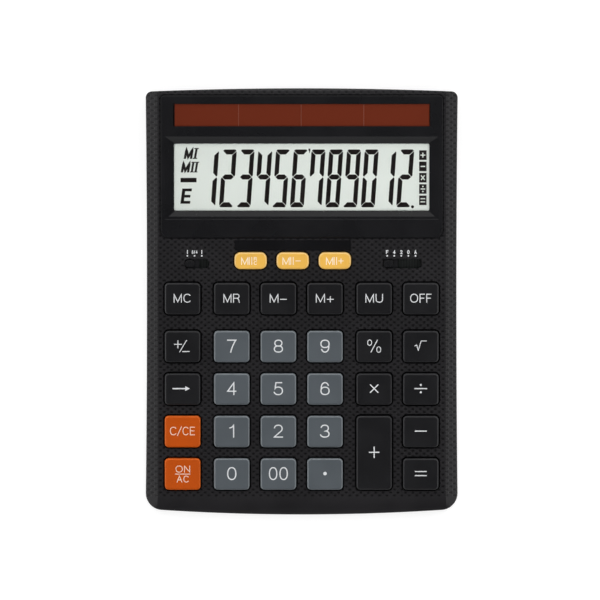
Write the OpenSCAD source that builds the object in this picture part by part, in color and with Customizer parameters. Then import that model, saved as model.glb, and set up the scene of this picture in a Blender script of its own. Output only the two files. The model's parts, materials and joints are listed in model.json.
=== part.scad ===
// Desk calculator: a wedge-shaped case with a steeper display head, thirty-two sprung keys,
// two slide switches and a battery door. Millimetres, +Z up, +Y towards the display.
// The origin is the middle of the footprint, level with the bottom of the feet.

/* [Case] */
// Slope of the key deck, in degrees
deck_slope = 4; // [3:0.5:5]
// Slope of the display head, in degrees
head_slope = 9; // [8:0.5:11]
// Height of the key deck above the table at the front edge
front_h = 14.5; // [14.5:0.5:18]
// Depth of the display head in plan, from the crease to the rear edge
head_d = 71; // [71:0.5:76]
// Deck left in front of the last row of keys
front_margin = 11.8; // [11.8:0.1:16]
// Deck left beside the outer columns of keys
side_margin = 9; // [9:0.1:12]
// Wall thickness of the top case
wall = 2.4; // [2:0.1:2.6]
// Width of the bevel along both sides, in plan
bevel_w = 5.8; // [4.5:0.1:5.8]
// Angle of that bevel below the deck, in degrees
bevel_angle = 42; // [34:1:48]
// How far each side draws in between its ends
waist = 0.6; // [0:0.1:1]
// Bow of the front edge
front_bow = 2.7; // [1:0.1:3]
// Bow of the rear edge
rear_bow = 1.6; // [0.5:0.1:2]
// Radius of the front corners
front_corner_r = 8; // [6:0.5:9]
// Radius of the rear corners
rear_corner_r = 3; // [3:0.5:5]
// Radius of the rolled front edge
front_roll_r = 16; // [14:1:24]
// Width of the rolled front edge, in plan
front_roll_w = 8.5; // [6:0.5:9]
// Radius of the rolled rear edge
rear_roll_r = 3; // [2:0.5:3.5]

/* [Bottom case] */
// Height of the feet below the bottom case
foot_h = 1.5; // [1:0.1:2]
// Diameter of each foot
foot_dia = 12; // [8:0.5:13]
// Thickness of the floor
floor_t = 2.2; // [2:0.1:2.4]
// Height of the parting line above the table
parting_h = 5.6; // [5.4:0.1:6]
// Chamfer round the bottom edge
base_chamfer = 1.5; // [0.5:0.1:1.8]
// Height of the lip that locates the top case
lip_h = 2; // [1.8:0.1:2.4]
// Thickness of that lip
lip_t = 1.2; // [1:0.1:1.4]

/* [Keys] */
// Width of a key cap
key_w = 17.1; // [16:0.1:17.3]
// Depth of a key cap
key_d = 15.2; // [14:0.1:15.4]
// Corner radius of a key cap
key_r = 1.5; // [1:0.1:2]
// Gap round each key in its opening
key_gap = 0.5; // [0.4:0.05:0.6]
// Height of a key's rim above the deck
key_rise = 2.4; // [2:0.1:3]
// Travel of a key
key_travel = 1.5; // [1.2:0.1:1.6]
// Spacing of the columns
pitch_x = 22.1; // [21.9:0.1:23]
// Extra gap beside the block of number keys
column_extra = 1.2; // [0.8:0.1:2.5]
// Spacing of the rows, along the deck
pitch_y = 20.2; // [20:0.1:21]
// Extra gap below the first full row
row_extra = 2.55; // [2.4:0.05:4]
// Distance from the crease to the first full row
first_row = 28.6; // [28.4:0.1:31]
// Width of a memory key cap
small_key_w = 15.5; // [14:0.1:15.8]
// Depth of a memory key cap
small_key_d = 8.2; // [7.6:0.1:8.4]
// Corner radius of a memory key cap
small_key_r = 3; // [2:0.1:3.5]
// Spacing of the memory keys
small_pitch = 19.95; // [19.8:0.05:20.4]
// Distance from the crease to the row of memory keys
small_row = 10.6; // [10.5:0.1:10.8]
// Offset of the memory keys from the centre line
small_shift = -4.25; // [-4.5:0.05:-3.5]

/* [Display] */
// Bezel left beside the recess of the display
side_land = 2; // [1.8:0.1:6]
// Bezel left in front of that recess
front_land = 9; // [8.6:0.1:12]
// Bezel left between the recess and the solar cell
middle_land = 4.9; // [4.6:0.1:7]
// Bezel left behind the solar cell
rear_land = 3.95; // [3.6:0.05:6]
// Bezel left beside the solar cell
solar_land = 5.85; // [5.6:0.05:12]
// Depth of the solar cell's window, along the head
solar_d = 10.85; // [8:0.05:11.5]
// Width of the recess wall beside the window
recess_side = 4.35; // [2:0.05:4.5]
// Width of the recess wall in front of and behind the window
recess_end = 3.65; // [2:0.05:3.8]
// Depth of the recess
recess_depth = 2.2; // [2:0.05:2.6]
// Case left beside the display bezel
bezel_margin = 7.2; // [7.2:0.1:8]
// Case left behind the display bezel, along the head
bezel_rear = 3.5; // [3.5:0.1:4]
// Height of the bezel above the head
bezel_rise = 0.3; // [0.1:0.05:0.5]
// Depth of the pocket that the bezel lies in
bezel_sunk = 1.4; // [1.2:0.05:1.5]
// Width of the label strip
label_w = 54.9; // [40:0.1:56]
// Depth of the label strip
label_d = 4.7; // [3:0.1:4.8]
// Distance from the crease to the middle of the label strip
label_at = 3.35; // [3.3:0.05:3.4]

/* [Slide switches] */
// Distance from the crease to the middle of the switches
switch_at = 12.1; // [11.9:0.1:12.6]
// Depth of a switch slot
slot_d = 4.3; // [4:0.1:4.8]
// Width of a switch knob
knob_w = 4.2; // [3.5:0.1:4.5]
// Height of a switch knob above the deck
knob_rise = 1; // [0.6:0.1:1.6]
// Spacing of the rounding switch's positions
rounding_step = 3.4; // [3:0.1:3.6]
// Spacing of the decimal switch's positions
decimal_step = 3.35; // [3:0.05:3.5]
// Middle of the left column to the middle of the rounding switch's slot
rounding_in = 6.8; // [6:0.1:7.4]
// Middle of the right column to the middle of the decimal switch's slot
decimal_in = 8.7; // [8:0.1:10]

/* [Battery] */
// Diameter of the battery, size AA
cell_dia = 14.3; // [13.8:0.1:14.4]
// Length of the battery with its terminal
cell_len = 50.5; // [49:0.1:50.8]
// Rear edge of the case to the battery's axis
cell_from_rear = 16.5; // [16:0.1:17.5]

/* [Hidden] */
$fn = 32;
corner_steps = 4;

// Clearances
fit = 0.15;                  // between parts that seat in each other
slide_gap = 0.25;            // between parts that slide
flange_gap = 0.3;            // between a key's flange and the deck above it
dome_gap = 0.2;              // between a key's post and its rubber dome
bezel_gap = 0.4;             // groove round the bezel
overcut = 1;                 // how far a cutter runs past the face that it cuts

// Key layout: node name, column, row
KEYS = [
    ["key_mc", 0, 0], ["key_mr", 1, 0], ["key_m_minus", 2, 0],
    ["key_m_plus", 3, 0], ["key_mu", 4, 0], ["key_off", 5, 0],
    ["key_sign", 0, 1], ["key_7", 1, 1], ["key_8", 2, 1],
    ["key_9", 3, 1], ["key_percent", 4, 1], ["key_root", 5, 1],
    ["key_backspace", 0, 2], ["key_4", 1, 2], ["key_5", 2, 2],
    ["key_6", 3, 2], ["key_multiply", 4, 2], ["key_divide", 5, 2],
    ["key_clear_entry", 0, 3], ["key_1", 1, 3], ["key_2", 2, 3],
    ["key_3", 3, 3], ["key_minus", 5, 3],
    ["key_on_clear", 0, 4], ["key_0", 1, 4], ["key_00", 2, 4],
    ["key_point", 3, 4], ["key_equals", 5, 4],
];
SMALL_KEYS = [["key_mii_recall", -1], ["key_mii_minus", 0], ["key_mii_plus", 1]];
GREY_KEYS = ["key_7", "key_8", "key_9", "key_4", "key_5", "key_6",
             "key_1", "key_2", "key_3", "key_0", "key_00", "key_point"];
ORANGE_KEYS = ["key_clear_entry", "key_on_clear"];

// Places of the keys in the deck's frame
function column_x(c) = (c - 2.5) * pitch_x + (c < 1 ? -column_extra : c > 3 ? column_extra : 0);
function row_y(r) = -(first_row + r * pitch_y + (r > 0 ? row_extra : 0));
function small_x(i) = small_shift + i * small_pitch;
plus_y = (row_y(3) + row_y(4)) / 2;
plus_d = key_d + pitch_y;

// Sizes of the case, worked out from the keys and the margins
deck_len = -row_y(4) + key_d / 2 + front_margin;
deck_d = deck_len * cos(deck_slope);
case_w = 2 * (column_x(5) + key_w / 2 + side_margin);
case_d = head_d + deck_d;
crease_y = case_d / 2 - head_d;
crease_z = front_h + deck_d * tan(deck_slope);
waist_y = 8;                 // the sides are nearest together this far behind the middle
deep = 60;                   // reaches below everything

// Levels in the deck's frame, whose zero is the deck's surface
flange_t = 0.9;
flange_w = 0.8;
flange_top = -wall - flange_gap;
flange_low = flange_top - flange_t;
dome_top = flange_low - dome_gap;
dome_h = key_travel + dome_gap;
sheet_t = 1;
sheet_top = dome_top - dome_h;
board_top = sheet_top - sheet_t;
board_t = 1.6;
board_low = board_top - board_t;

// Keyboard and its board
cap_wall = 1.2;
cap_top_t = 1.4;
cap_chamfer = 0.45;
cap_draft = 0.15;
dish_depth = 0.35;
dish_border = 1.2;
post_dia = 3.2;
dome_foot_dia = 8.4;
dome_head_dia = 4.6;
dome_skin = 0.5;
board_edge = 2.4;            // board beyond the outer keys' flanges
board_w = 2 * (column_x(5) + key_w / 2 + flange_w + board_edge);
board_front = row_y(4) - key_d / 2 - flange_w - 0.9;
board_rear = -1.5;
sheet_inset = 0.7;
sheet_rear = -6;
notch_y = -18.5;             // the sheet is cut away behind this line beside the memory keys
notch_gap = 3.2;             // between the memory keys' flanges and that cut
chip_r = 8;
chip_h = 2.2;
board_post_dia = 3.6;
board_screw_dia = 1.8;
board_screw_len = 5;
board_head_dia = 3.6;
board_head_t = 1.3;
board_post_x = [(column_x(1) + column_x(2)) / 2, (column_x(3) + column_x(4)) / 2];
board_post_y = [-(small_row + small_key_d / 2 + first_row - key_d / 2) / 2,
                (row_y(1) + row_y(2)) / 2, plus_y];
board_posts = [for (x = board_post_x, y = board_post_y) [x, y]];

// Slide switches
knob_d = slot_d - 2 * slide_gap - 0.4;
knob_flange_w = 9;
knob_flange_d = 7.5;
knob_flange_t = 1.3;
slot_r = 1.6;
rounding_travel = 2 * rounding_step;
decimal_travel = 4 * decimal_step;
rounding_x = column_x(0) + rounding_in;
decimal_x = column_x(5) - decimal_in;
rounding_rest = rounding_x - rounding_travel / 2;
decimal_rest = decimal_x - decimal_travel / 2;
wiper_t = 0.25;
wiper_w = 6;
wiper_d = 2;

// Display head, in its own frame, whose zero is the head's surface
bezel_w = case_w - 2 * bezel_margin;
bezel_front = 0.3;
bezel_back = head_d / cos(head_slope) - bezel_rear;
bezel_d = bezel_back - bezel_front;
bezel_mid = (bezel_back + bezel_front) / 2;
bezel_front_r = 3.4;
bezel_rear_r = 1.5;
window_w = bezel_w - 2 * (side_land + recess_side);
window_front = bezel_front + front_land + recess_end;
solar_w = bezel_w - 2 * solar_land;
solar_at = bezel_back - rear_land - solar_d / 2;
window_d = solar_at - solar_d / 2 - middle_land - recess_end - window_front;
window_at = window_front + window_d / 2;
tub_skin = 0.8;
tub_w = window_w + 2 * (recess_side + tub_skin);
tub_d = window_d + 2 * (recess_end + tub_skin);
window_lip = 0.6;
tub_low = bezel_rise - recess_depth - window_lip;
lens_margin = 2;
lens_t = 1;
lens_w = window_w + 2 * lens_margin;
lens_d = window_d + 2 * lens_margin;
lens_low = tub_low - lens_t;
glass_t = 1;
glass_ledge = 4;             // the rear glass shows this much for its contacts
glass_low = lens_low - 2 * glass_t;
reflector_t = 0.3;
tray_t = 1.2;
tray_gap = 0.3;
tray_front = window_at - lens_d / 2 - glass_ledge - tray_gap - tray_t;
tray_back = window_at + lens_d / 2 + tray_gap + tray_t;
tray_w = lens_w + 2 * (tray_gap + tray_t);
tray_low = glass_low - reflector_t - tray_t;
flex_w = 0.7 * window_w;
flex_t = 0.2;
peg_dia = 1.8;
peg_len = 2;
peg_x = tray_w / 2 - 7;
solar_edge = 0.8;            // the cell is this much larger than its window all round
solar_t = 1.1;
solar_back = solar_at + solar_d / 2 + solar_edge;
solar_front = solar_at - solar_d / 2 - solar_edge;
peg_front = tray_front - 1.8;
peg_rear = (window_at + tub_d / 2 + bezel_gap + solar_front - slide_gap) / 2;
ear_w = 6;
label_t = 0.5;
label_rise = 0.05;

// Bottom case and its fasteners
base_wall = 2;
door_gap = 0.25;
foot_sunk = 0.5;
foot_x = case_w / 2 - 16;
foot_y = case_d / 2 - 17;
screw_dia = 2.5;
screw_hole = screw_dia + 2 * fit;
screw_head_dia = 5;
screw_head_t = 1.6;
head_bore = screw_head_dia + 0.4;
head_seat = foot_h + 3.2;
boss_dia = 5.5;
base_boss_dia = 7.6;
boss_split = 8;              // height at which the bosses of both cases meet
screw_len = 9;
front_boss_x = case_w / 2 - 28;
front_boss_y = -case_d / 2 + wall + front_bow * pow(front_boss_x / (case_w / 2), 2)
    + boss_dia / 2 - 0.4;
mid_boss_x = (column_x(4) + column_x(5)) / 2;
mid_boss_y = crease_y + (row_y(0) + row_y(1)) / 2 * cos(deck_slope);
rear_boss_x = flex_w / 2 + boss_dia / 2 + 4;
rear_boss_y = crease_y + 2.5;
BOSSES = [[-front_boss_x, front_boss_y], [front_boss_x, front_boss_y],
          [-mid_boss_x, mid_boss_y], [mid_boss_x, mid_boss_y],
          [-rear_boss_x, rear_boss_y], [rear_boss_x, rear_boss_y]];
hook_x = case_w / 2 - 26;
hook_w = 8;
hook_out = 0.8;
hook_z = parting_h + 0.8;
hook_t = 0.9;

// Battery bay and door
bay_wall = 1.4;
bay_gap = 0.35;
spring_len = 3.9;
contact_t = 0.5;
cell_y = case_d / 2 - cell_from_rear;
bay_w = cell_len + spring_len + 2 * contact_t + 0.6;
bay_d = cell_dia + 2 * bay_gap;
cell_z = foot_h + floor_t + bay_gap + cell_dia / 2;
bay_top = cell_z + cell_dia / 2 + bay_gap;
cell_right = bay_w / 2 - contact_t - 0.6;
cell_nub = 1;
wire_r = 0.5;
wire_lift = 0.3;             // a wire's cut end stands this far off what it is soldered to
wire_z = foot_h + floor_t + 7;
wire_drop = 3;               // a wire hangs this far below its soldered end before it turns
solar_wire_x = solar_w / 2 - 17;
battery_wire_x = flex_w / 2 - 18;
door_w = cell_len + 1.5;
door_front = cell_y - bay_d / 2 + door_gap;
rail_w = 1;
rail_t = 0.8;
rail_z = foot_h + 0.7;

// Colours
case_black = [0.13, 0.13, 0.14];
key_black = [0.11, 0.11, 0.12];
key_grey = [0.33, 0.36, 0.38];
key_orange = [0.8, 0.32, 0.07];
key_yellow = [0.93, 0.7, 0.3];
gloss_black = [0.06, 0.06, 0.07];
metal = [0.75, 0.75, 0.77];

// Points along an arc, from angle a0 to angle a1
function arc(cx, cy, r, a0, a1, steps) =
    [for (i = [0:steps]) let (a = a0 + (a1 - a0) * i / steps) [cx + r * cos(a), cy + r * sin(a)]];

// Outline of a rectangle with one radius at its front corners and one at its rear corners
function round_rect(w, d, front_r, rear_r) = concat(
    arc(w / 2 - rear_r, d / 2 - rear_r, rear_r, 0, 90, corner_steps),
    arc(-w / 2 + rear_r, d / 2 - rear_r, rear_r, 90, 180, corner_steps),
    arc(-w / 2 + front_r, -d / 2 + front_r, front_r, 180, 270, corner_steps),
    arc(w / 2 - front_r, -d / 2 + front_r, front_r, 270, 360, corner_steps));

// A rounded plate centred in plan, from z = low to z = low + t
module plate(w, d, low, t, r) {
    translate([0, 0, low]) linear_extrude(t) polygon(round_rect(w, d, r, r));
}

// A block centred on x, from y0 to y1 and from z0 to z1
module slab(w, y0, y1, z0, z1) {
    translate([-w / 2, y0, z0]) cube([w, y1 - y0, z1 - z0]);
}

// Places children in the deck's frame: y runs up the slope and z along its normal
module on_deck() {
    translate([0, crease_y, crease_z]) rotate([deck_slope, 0, 0]) children();
}

// Places children in the display head's frame
module on_head() {
    translate([0, crease_y, crease_z]) rotate([head_slope, 0, 0]) children();
}

// A point of a sloped frame as its y and z in the row's frame
function from_slope(slope, y, z) =
    [crease_y + y * cos(slope) - z * sin(slope), crease_z + y * sin(slope) + z * cos(slope)];

// Extrudes a profile drawn in y and z across the width w
module across(w) {
    rotate([90, 0, 90]) linear_extrude(w, center = true) children();
}

// Half-width of the case at y
function side_x(y) =
    case_w / 2 - waist * (1 - pow((y - waist_y) / (case_d / 2 - front_corner_r + waist_y), 2));

// The right half of the case's outline, drawn in by g, for one end: 1 rear, -1 front
function end_points(g, end, bow, r) = let (
        cx = side_x(end * (case_d / 2 - r)) - r,
        lean = atan(2 * bow * cx / pow(case_w / 2, 2)),
        rg = max(r - g, 0.4),
        reach = case_d / 2 - g,
        tx = cx + rg * sin(lean),
        cy = reach - bow * pow(tx / (case_w / 2), 2) - rg * cos(lean))
    concat([for (i = [0:6]) let (x = tx * i / 6) [x, end * (reach - bow * pow(x / (case_w / 2), 2))]],
           [for (i = [1:6]) let (a = (90 - lean) * (1 - i / 6))
               [cx + max(r - g, rg) * cos(a) + (r - g - rg), end * (cy + rg * sin(a))]]);

// The whole outline of the case, drawn in by g
function case_outline(g) = let (
        front = end_points(g, -1, front_bow, front_corner_r),
        rear = end_points(g, 1, rear_bow, rear_corner_r),
        y0 = front[len(front) - 1][1],
        y1 = rear[len(rear) - 1][1],
        side = [for (i = [1:7]) let (y = y0 + (y1 - y0) * i / 8) [side_x(y) - g, y]],
        half = concat(front, side, [for (i = [len(rear) - 1:-1:0]) rear[i]]))
    concat(half, [for (i = [len(half) - 2:-1:1]) [-half[i][0], half[i][1]]]);

// The case's footprint, drawn in by g, as a prism from z0 to z1
module footprint(g, z0, z1) {
    translate([0, 0, z0]) linear_extrude(z1 - z0) polygon(case_outline(g));
}

// A ridge with bevelled sides along a sloped frame, its top lowered by g
module bevelled_ridge(g) {
    flat = case_w / 2 - bevel_w - g * tan(bevel_angle / 2);
    over = bevel_w + 4;
    half = [[flat + over, -deep], [flat + over, -g - over * tan(bevel_angle)], [flat, -g]];
    rotate([90, 0, 0]) linear_extrude(3 * case_d, center = true)
        polygon(concat(half, [for (i = [2:-1:0]) [-half[i][0], half[i][1]]]));
}

// The deck and its rolled front edge, lowered by g
module deck_block(g) {
    roll_y = -deck_len + front_roll_w / cos(deck_slope);
    intersection() {
        bevelled_ridge(g);
        across(2 * case_w) polygon(concat(
            [[case_d, -deep], [case_d, -g]],
            arc(roll_y, -front_roll_r, front_roll_r - g, 90, 140, 10),
            [[-deck_len - 10, -deep]]));
    }
}

// The display head and its rolled rear edge, lowered by g
module head_block(g) {
    rise = sin(head_slope);
    roll_y = (head_d - rear_roll_r * (1 + rise)) / cos(head_slope);
    steep = 25;
    rg = max(rear_roll_r - g, 0.3);
    last = [roll_y + rg * cos(steep), -rear_roll_r + rg * sin(steep) - max(g - rear_roll_r + 0.3, 0)];
    intersection() {
        bevelled_ridge(g);
        across(2 * case_w) polygon(concat(
            [last + 12 * [sin(steep), -cos(steep)], last + [12 * sin(steep), -deep],
             [-head_d / 2, -deep], [-head_d / 2, -g]],
            arc(roll_y, min(-g - rg, -rear_roll_r), rg, 90, steep, 5)));
    }
}

// The closed form of the whole case, drawn in by g on every side
module case_form(g) {
    intersection() {
        footprint(g, -deep, deep);
        union() {
            on_deck() deck_block(g);
            on_head() head_block(g);
        }
    }
}

// The openings of every key, through the deck
module key_openings() {
    low = -wall - overcut;
    tall = wall + 2 * overcut;
    for (k = KEYS) translate([column_x(k[1]), row_y(k[2]), 0])
        plate(key_w + 2 * key_gap, key_d + 2 * key_gap, low, tall, key_r + key_gap);
    translate([column_x(4), plus_y, 0])
        plate(key_w + 2 * key_gap, plus_d + 2 * key_gap, low, tall, key_r + key_gap);
    for (k = SMALL_KEYS) translate([small_x(k[1]), -small_row, 0])
        plate(small_key_w + 2 * key_gap, small_key_d + 2 * key_gap, low, tall, small_key_r + key_gap);
}

// A switch's slot: as long as its knob, its travel and a gap at each end
module switch_slot(x, travel) {
    translate([x, -switch_at, 0])
        plate(knob_w + travel + 2 * (slide_gap + 0.1), slot_d, -wall - overcut, wall + 2 * overcut, slot_r);
}

// The pocket and openings under the bezel
module head_openings() {
    translate([0, bezel_mid, -bezel_sunk]) linear_extrude(bezel_sunk + 2)
        polygon(round_rect(bezel_w + 2 * bezel_gap, bezel_d + 2 * bezel_gap,
                           bezel_front_r + bezel_gap, bezel_rear_r + bezel_gap));
    slab(tub_w + 2 * bezel_gap, window_at - tub_d / 2 - bezel_gap, window_at + tub_d / 2 + bezel_gap,
         -wall - overcut, 0);
    slab(solar_w + 2 * (solar_edge + slide_gap), solar_front - slide_gap, solar_back + slide_gap,
         -wall - overcut, 0);
}

// The pegs that hold the display's retainer, with a radius larger by grow
module retainer_pegs(grow, low, high) {
    for (x = [-peg_x, peg_x], y = [peg_front, peg_rear])
        translate([x, y, low]) cylinder(r = peg_dia / 2 + grow, h = high - low);
}

module top_case() color(case_black) {
    difference() {
        union() {
            difference() {
                intersection() {
                    case_form(0);
                    footprint(-overcut, parting_h, deep);
                }
                case_form(wall);
            }
            intersection() {
                case_form(wall / 2);
                for (b = BOSSES) translate([b[0], b[1], boss_split]) cylinder(d = boss_dia, h = deep);
            }
            on_deck() for (p = board_posts)
                translate([p[0], p[1], board_top]) cylinder(d = board_post_dia, h = -board_top - wall / 2);
            on_head() retainer_pegs(0, -wall - peg_len, -(wall + bezel_sunk) / 2);
        }
        on_deck() {
            key_openings();
            switch_slot(rounding_x, rounding_travel);
            switch_slot(decimal_x, decimal_travel);
            translate([small_shift, -label_at, 0])
                plate(label_w + 2 * fit, label_d + 2 * fit, -label_t, label_t + overcut, 0.4);
            for (p = board_posts) translate([p[0], p[1], board_top - overcut])
                cylinder(d = board_screw_dia + 0.1, h = board_screw_len - board_t + 0.3 + overcut);
        }
        on_head() head_openings();
        for (b = BOSSES) translate([b[0], b[1], boss_split - overcut])
            cylinder(d = screw_dia + 0.1, h = screw_len - (boss_split - head_seat) + 0.4 + overcut);
        intersection() {
            footprint(wall - hook_out - fit, hook_z - fit, hook_z + hook_t + fit);
            for (s = [-1, 1]) translate([s * hook_x, 0, 0])
                slab(hook_w + 4 * fit, case_d / 4, case_d, 0, deep);
        }
    }
}

// The bottom case's outer form, with its chamfer, drawn in by g, up to z1
module base_form(g, z1) {
    half_w = case_w / 2 - g;
    half_d = case_d / 2 - g;
    intersection() {
        footprint(g, foot_h, z1);
        rotate([90, 0, 0]) linear_extrude(2 * case_d, center = true) polygon([
            [-half_w + base_chamfer, foot_h - overcut], [half_w - base_chamfer, foot_h - overcut],
            [half_w - base_chamfer + overcut, foot_h], [half_w + 3, foot_h + base_chamfer + 3 - waist],
            [half_w + 3, deep], [-half_w - 3, deep], [-half_w - 3, foot_h + base_chamfer + 3 - waist],
            [-half_w + base_chamfer - overcut, foot_h]]);
        across(2 * case_w) polygon([
            [-half_d + base_chamfer, foot_h], [half_d - base_chamfer, foot_h],
            [half_d + 3, foot_h + base_chamfer + 3], [half_d + 3, deep],
            [-half_d - 3, deep], [-half_d - 3, foot_h + base_chamfer + 3]]);
    }
}

// The space that the battery door fills, larger by g, with its rails larger by g too
module door_space(g) {
    slab(door_w + 2 * g, door_front - g, case_d, foot_h - overcut, foot_h + floor_t + g);
    slab(door_w + 2 * g, case_d / 2 - base_wall - rear_bow - g, case_d, foot_h, parting_h + g);
    slab(door_w + 2 * (rail_w + g), door_front - g, case_d, rail_z - g / 2, rail_z + rail_t + g / 2);
}

module bottom_case() color(case_black) difference() {
    bay_out_w = bay_w + 2 * bay_wall;
    union() {
        difference() {
            base_form(0, parting_h);
            footprint(base_wall, foot_h + floor_t, deep);
        }
        difference() {
            footprint(wall + fit, foot_h + floor_t / 2, parting_h + lip_h);
            footprint(wall + fit + lip_t, -deep, deep);
        }
        intersection() {
            footprint(wall + fit - hook_out, hook_z, hook_z + hook_t);
            for (s = [-1, 1]) translate([s * hook_x, 0, 0])
                slab(hook_w, case_d / 2 - wall - rear_bow - 3 * lip_t, case_d, 0, deep);
        }
        slab(bay_out_w, cell_y - bay_d / 2 - bay_wall, cell_y + bay_d / 2 + bay_wall,
             foot_h + floor_t / 2, bay_top + bay_wall);
        intersection() {
            footprint(wall + fit, foot_h + floor_t / 2, boss_split);
            for (b = BOSSES) translate([b[0], b[1], 0]) cylinder(d = base_boss_dia, h = deep);
        }
    }
    slab(bay_w, cell_y - bay_d / 2, cell_y + bay_d / 2, foot_h + floor_t, bay_top);
    door_space(door_gap);
    for (b = BOSSES) translate([b[0], b[1], 0]) {
        cylinder(d = screw_hole, h = deep);
        cylinder(d = head_bore, h = head_seat);
    }
    for (x = [-foot_x, foot_x], y = [-foot_y, foot_y]) translate([x, y, 0])
        cylinder(d = foot_dia + 2 * fit, h = foot_h + foot_sunk);
    for (s = [-1, 1]) translate([s * (bay_w / 2 + bay_wall / 2), cell_y, bay_top - 2])
        cube([bay_wall + 2 * overcut, 2, 1.6], center = true);
}

module battery_door() color(case_black) {
    grip_y = case_d / 2 - 14;
    difference() {
        intersection() {
            base_form(0, parting_h);
            door_space(0);
        }
        for (i = [0:4]) slab(14, grip_y + i * 2, grip_y + i * 2 + 1, 0, foot_h + 0.5);
    }
}

// The bezel's recess: four sloped walls that meet in mitres
module recess() {
    k = 1.5;
    low = bezel_rise - recess_depth;
    top = low + k * recess_depth;
    intersection() {
        rotate([90, 0, 0]) linear_extrude(2 * tub_d, center = true) polygon([
            [-window_w / 2, low], [window_w / 2, low],
            [window_w / 2 + k * recess_side, top], [-window_w / 2 - k * recess_side, top]]);
        across(2 * tub_w) polygon([
            [-window_d / 2, low], [window_d / 2, low],
            [window_d / 2 + k * recess_end, top], [-window_d / 2 - k * recess_end, top]]);
    }
}

module display_bezel() color(gloss_black) on_head() difference() {
    union() {
        translate([0, bezel_mid, -bezel_sunk]) linear_extrude(bezel_sunk + bezel_rise)
            polygon(round_rect(bezel_w, bezel_d, bezel_front_r, bezel_rear_r));
        slab(tub_w, window_at - tub_d / 2, window_at + tub_d / 2, tub_low, 0);
    }
    translate([0, window_at, 0]) {
        recess();
        slab(window_w, -window_d / 2, window_d / 2, tub_low - overcut, overcut);
    }
    slab(solar_w, solar_at - solar_d / 2, solar_at + solar_d / 2, -bezel_sunk - overcut, overcut);
}

module lcd_window() color([0.85, 0.9, 0.92, 0.35]) on_head() translate([0, window_at, 0])
    plate(lens_w, lens_d, lens_low, lens_t, 0.5);

module lcd_glass() color([0.75, 0.8, 0.75, 0.6]) on_head() {
    slab(lens_w, window_at - lens_d / 2, window_at + lens_d / 2, lens_low - glass_t, lens_low);
    slab(lens_w, window_at - lens_d / 2 - glass_ledge, window_at + lens_d / 2,
         glass_low, lens_low - glass_t);
}

module lcd_reflector() color([0.8, 0.84, 0.79]) on_head()
    slab(lens_w, window_at - lens_d / 2 - glass_ledge, window_at + lens_d / 2,
         glass_low - reflector_t, glass_low);

module lcd_retainer() color([0.85, 0.85, 0.83]) on_head() difference() {
    union() {
        slab(tray_w, tray_front, tray_back, tray_low, tub_low);
        for (x = [-peg_x, peg_x]) translate([x, 0, 0]) {
            slab(ear_w, peg_front - 1.8, tray_front + tray_t, tub_low - tray_t, tub_low);
            slab(ear_w, tray_back - tray_t, peg_rear + 1.4, tub_low - tray_t, tub_low);
        }
    }
    slab(tray_w - 2 * tray_t, tray_front + tray_t, tray_back - tray_t, tray_low + tray_t, overcut);
    slab(flex_w + 2, tray_front - overcut, tray_front + tray_t + overcut,
         lens_low - glass_t - 0.4, overcut);
    retainer_pegs(fit, tray_low, 0);
}

// The ribbon from the display's rear glass down to the keyboard's board
module lcd_flex() color([0.75, 0.45, 0.15]) {
    ledge = window_at - lens_d / 2;
    level = lens_low - glass_t;
    route = [from_slope(head_slope, ledge - 0.4, level), from_slope(head_slope, tray_front - 0.5, level),
             from_slope(deck_slope, board_rear - 0.6, board_top),
             from_slope(deck_slope, sheet_rear + 0.5, board_top)];
    across(flex_w) polygon(concat(route, [for (i = [3:-1:0]) route[i] + [0, flex_t]]));
}

module solar_cell() color([0.4, 0.16, 0.1]) on_head()
    slab(solar_w + 2 * solar_edge, solar_front, solar_back, -bezel_sunk - solar_t, -bezel_sunk);

module label_strip() color(gloss_black) on_deck() translate([small_shift, -label_at, 0])
    plate(label_w, label_d, -label_t, label_t + label_rise, 0.3);

// Clear holes round the case's bosses, through what lies on the deck's underside
module boss_holes() {
    for (b = BOSSES) translate([b[0], b[1], 0]) cylinder(d = boss_dia + 1.2, h = deep);
}

module rubber_keypad() color([0.55, 0.57, 0.58]) {
    width = board_w - 2 * sheet_inset;
    difference() {
        on_deck() union() {
            slab(width, board_front + sheet_inset, notch_y, board_top, sheet_top);
            translate([small_shift, 0, 0])
                slab(2 * (small_pitch + small_key_w / 2 + flange_w + notch_gap),
                     notch_y - overcut, sheet_rear, board_top, sheet_top);
            for (p = key_posts()) translate([p[0], p[1], sheet_top])
                cylinder(d1 = dome_foot_dia, d2 = dome_head_dia, h = dome_h);
        }
        on_deck() {
            for (p = key_posts()) translate([p[0], p[1], board_top - overcut])
                cylinder(d1 = dome_foot_dia - 2 * dome_skin, d2 = dome_head_dia - 2 * dome_skin,
                         h = dome_top - dome_skin - board_top + overcut);
            for (p = board_posts) translate([p[0], p[1], board_top - overcut])
                cylinder(d = board_post_dia + 1, h = sheet_t + 2 * overcut);
        }
        boss_holes();
    }
}

// The middle of every key
function key_posts() = concat(
    [for (k = KEYS) [column_x(k[1]), row_y(k[2])]],
    [[column_x(4), plus_y]],
    [for (k = SMALL_KEYS) [small_x(k[1]), -small_row]]);

module keyboard_board() color([0.1, 0.32, 0.2]) difference() {
    on_deck() slab(board_w, board_front, board_rear, board_low, board_top);
    on_deck() for (p = board_posts) translate([p[0], p[1], board_low - overcut])
        cylinder(d = board_screw_dia + 2 * fit, h = board_t + 2 * overcut);
    boss_holes();
}

module main_chip() color([0.05, 0.05, 0.05]) on_deck() {
    ball = (chip_r * chip_r + chip_h * chip_h) / (2 * chip_h);
    edge = asin(chip_r / ball);
    translate([column_x(2), row_y(0), board_low]) rotate([180, 0, 0]) rotate_extrude()
        polygon(concat([[0, 0]], arc(0, chip_h - ball, ball, 90 - edge, 90, 6)));
}

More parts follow.
